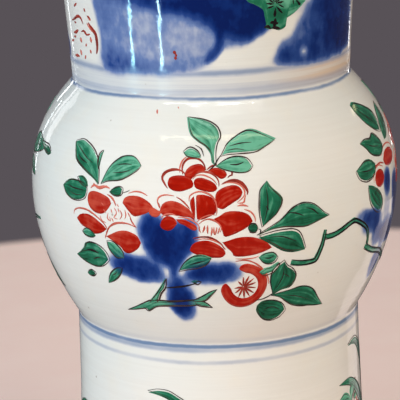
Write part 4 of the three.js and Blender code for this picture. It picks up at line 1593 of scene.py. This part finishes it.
def makeTable():
    rim = stageLook["tableRadius"] + stageLook["tableFade"]
    mesh = bmesh.new()
    bmesh.ops.create_circle(mesh, cap_ends=True, segments=stageLook["tableSides"], radius=rim)
    bmesh.ops.translate(mesh, vec=(0, 0, -stageLook["tableDrop"]), verts=mesh.verts)
    data = bpy.data.meshes.new("table")
    mesh.to_mesh(data)
    mesh.free()
    material, tree, shader = newMaterial("tableTop", 0.9)
    out = addNode(tree, "ShaderNodeVectorMath", {0: onObject(tree)}, operation="LENGTH").outputs["Value"]
    alpha = stepped(tree, out, rim, stageLook["tableRadius"] - stageLook["tableFade"])
    weave = patchy(tree, *stageLook["weave"])
    colour = tinted(tree, stageLook["table"], weave, stageLook["shadeShare"], stageLook["shade"])
    seen = addNode(tree, "ShaderNodeLightPath").outputs["Is Camera Ray"]
    tree.links.new(colour, shader.inputs["Base Color"])
    tree.links.new(alpha, shader.inputs["Alpha"])
    tree.links.new(colour, shader.inputs["Emission Color"])
    tree.links.new(product(tree, seen, stageLook["lift"]), shader.inputs["Emission Strength"])
    data.materials.append(material)
    table = bpy.data.objects.new("table", data)
    bpy.context.scene.collection.objects.link(table)
    table.visible_glossy = False     # its pale haze would lie over the cobalt


makeTable()

# Soft lamps: size, place, aim, watts and colour
lamps = {
    "key": ((1.4, 1.4), (-1.0, -1.6, 1.8), (0, 0, 0.2), 16, (0.93, 0.96, 1.0)),
    "left": ((1.0, 1.4), (-1.9, -0.9, 0.5), (0, 0, 0.2), 34, (0.82, 0.94, 1.0)),
    "fill": ((1.2, 1.4), (1.3, -1.7, 1.0), (0, 0, 0.2), 37, (1.0, 0.89, 0.74)),
    "top": ((0.9, 0.9), (0.1, -0.2, 1.7), (0, 0, 0.2), 5, (1.0, 0.97, 0.92)),
    "ceilingLeft": ((0.57, 0.022), (-0.5, -0.414, 2.0), (0, 1.0, 0.22), 1.5, (1.0, 1.0, 1.0)),
    "ceilingMiddle": ((0.56, 0.022), (0.02, -0.502, 2.0), (0, 1.0, 0.22), 2.5, (1.0, 1.0, 1.0)),
    "ceilingRight": ((0.48, 0.022), (0.5, -0.415, 2.0), (0, 1.0, 0.22), 1.2, (1.0, 1.0, 1.0)),
    "stripLeft": ((0.007, 0.13), (-0.549, -0.277, 0.092), (0, 0, 0.2), 0.32, (0.42, 0.92, 1.0)),
    "stripFront": ((0.007, 0.13), (-0.386, -0.486, 0.082), (0, 0, 0.2), 0.36, (0.55, 0.95, 1.0)),
    "rimLeft": ((0.009, 0.21), (-0.335, 0.480, 0.195), (0, 0, 0.2), 0.035, (0.9, 0.97, 1.0)),
    "rimRight": ((0.015, 0.04), (0.288, 0.504, 0.128), (0, 0, 0.2), 0.014, (1.0, 0.97, 0.95)),
    "rimShoulder": ((0.02, 0.05), (-0.275, 0.515, 0.268), (0, 0, 0.2), 0.015, (0.95, 0.98, 1.0)),
    "limbRight": ((0.26, 0.3), (0.42, 0.42, -0.14), (0, 0, 0.2), 0.18, (1.0, 0.86, 0.84)),
    "glint": ((0.11, 0.02), (0.512, 0.294, 0.43), (0, 0, 0.2), 0.03, (1.0, 0.92, 0.5)),
    "glowLeft": ((0.08, 0.22), (-0.43, 0.405, 0.33), (0, 0, 0.2), 0.095, (0.97, 0.98, 1.0)),
    "glowEdge": ((0.03, 0.2), (-0.375, 0.45, 0.36), (0, 0, 0.2), 0.04, (1.0, 0.97, 0.98)),
    "glowFrontLeft": ((0.26, 0.035), (-0.355, -0.56, 0.93), (0, 0.65, 0.2), 0.22, (1.0, 0.91, 0.56)),
    "glowFront": ((0.5, 0.035), (-0.02, -0.62, 0.93), (0, 0.65, 0.2), 0.36, (1.0, 0.91, 0.56)),
    "glowFrontRight": ((0.3, 0.035), (0.36, -0.53, 0.93), (0, 0.65, 0.2), 0.2, (1.0, 0.91, 0.56)),
}
softLamps = ("key", "left", "fill")     # these light the vase, and the small lamps show in its glaze
neckPieces = bpy.data.collections.new("neckPieces")
for piece in bpy.context.scene.collection.objects:
    if piece.name.startswith("neck"):
        neckPieces.objects.link(piece)
for name, (size, position, aim, watts, colour) in lamps.items():
    lamp = bpy.data.lights.new(name, "AREA")
    lamp.shape = "RECTANGLE"
    lamp.size, lamp.size_y = size
    lamp.energy = watts
    lamp.color = colour
    holder = bpy.data.objects.new(name, lamp)
    holder.location = position
    holder.rotation_euler = (Vector(aim) - Vector(position)).to_track_quat("-Z", "Y").to_euler()
    holder.visible_camera = False
    holder.visible_glossy = name not in softLamps
    holder.visible_diffuse = name in (*softLamps, "top")
    if name.startswith("strip"):
        holder.light_linking.receiver_collection = neckPieces
    bpy.context.scene.collection.objects.link(holder)

world = bpy.data.worlds.new("studio")
world.use_nodes = True
backdrop = world.node_tree.nodes["Background"]
backdrop.inputs["Color"].default_value = stageLook["wall"]
backdrop.inputs["Strength"].default_value = 1.0
bpy.context.scene.world = world

view = {"lens": 153.5, "place": (-5.8, -637.8, 341.3), "aim": (-5.8, 0.0, 174.7), "lean": -1.95}
camera = bpy.data.cameras.new("camera")
camera.sensor_width = 36.0
camera.lens = view["lens"]
camera.clip_start = 0.01
place, aim = Vector(view["place"]) * mm, Vector(view["aim"]) * mm
turned = (aim - place).to_track_quat("-Z", "Y").to_matrix().to_4x4()
cameraHolder = bpy.data.objects.new("camera", camera)
lean = Matrix.Rotation(math.radians(view["lean"]), 4, "Z")
cameraHolder.matrix_world = Matrix.Translation(place) @ turned @ lean
bpy.context.scene.collection.objects.link(cameraHolder)
bpy.context.scene.camera = cameraHolder
bpy.context.scene.view_settings.view_transform = "Standard"
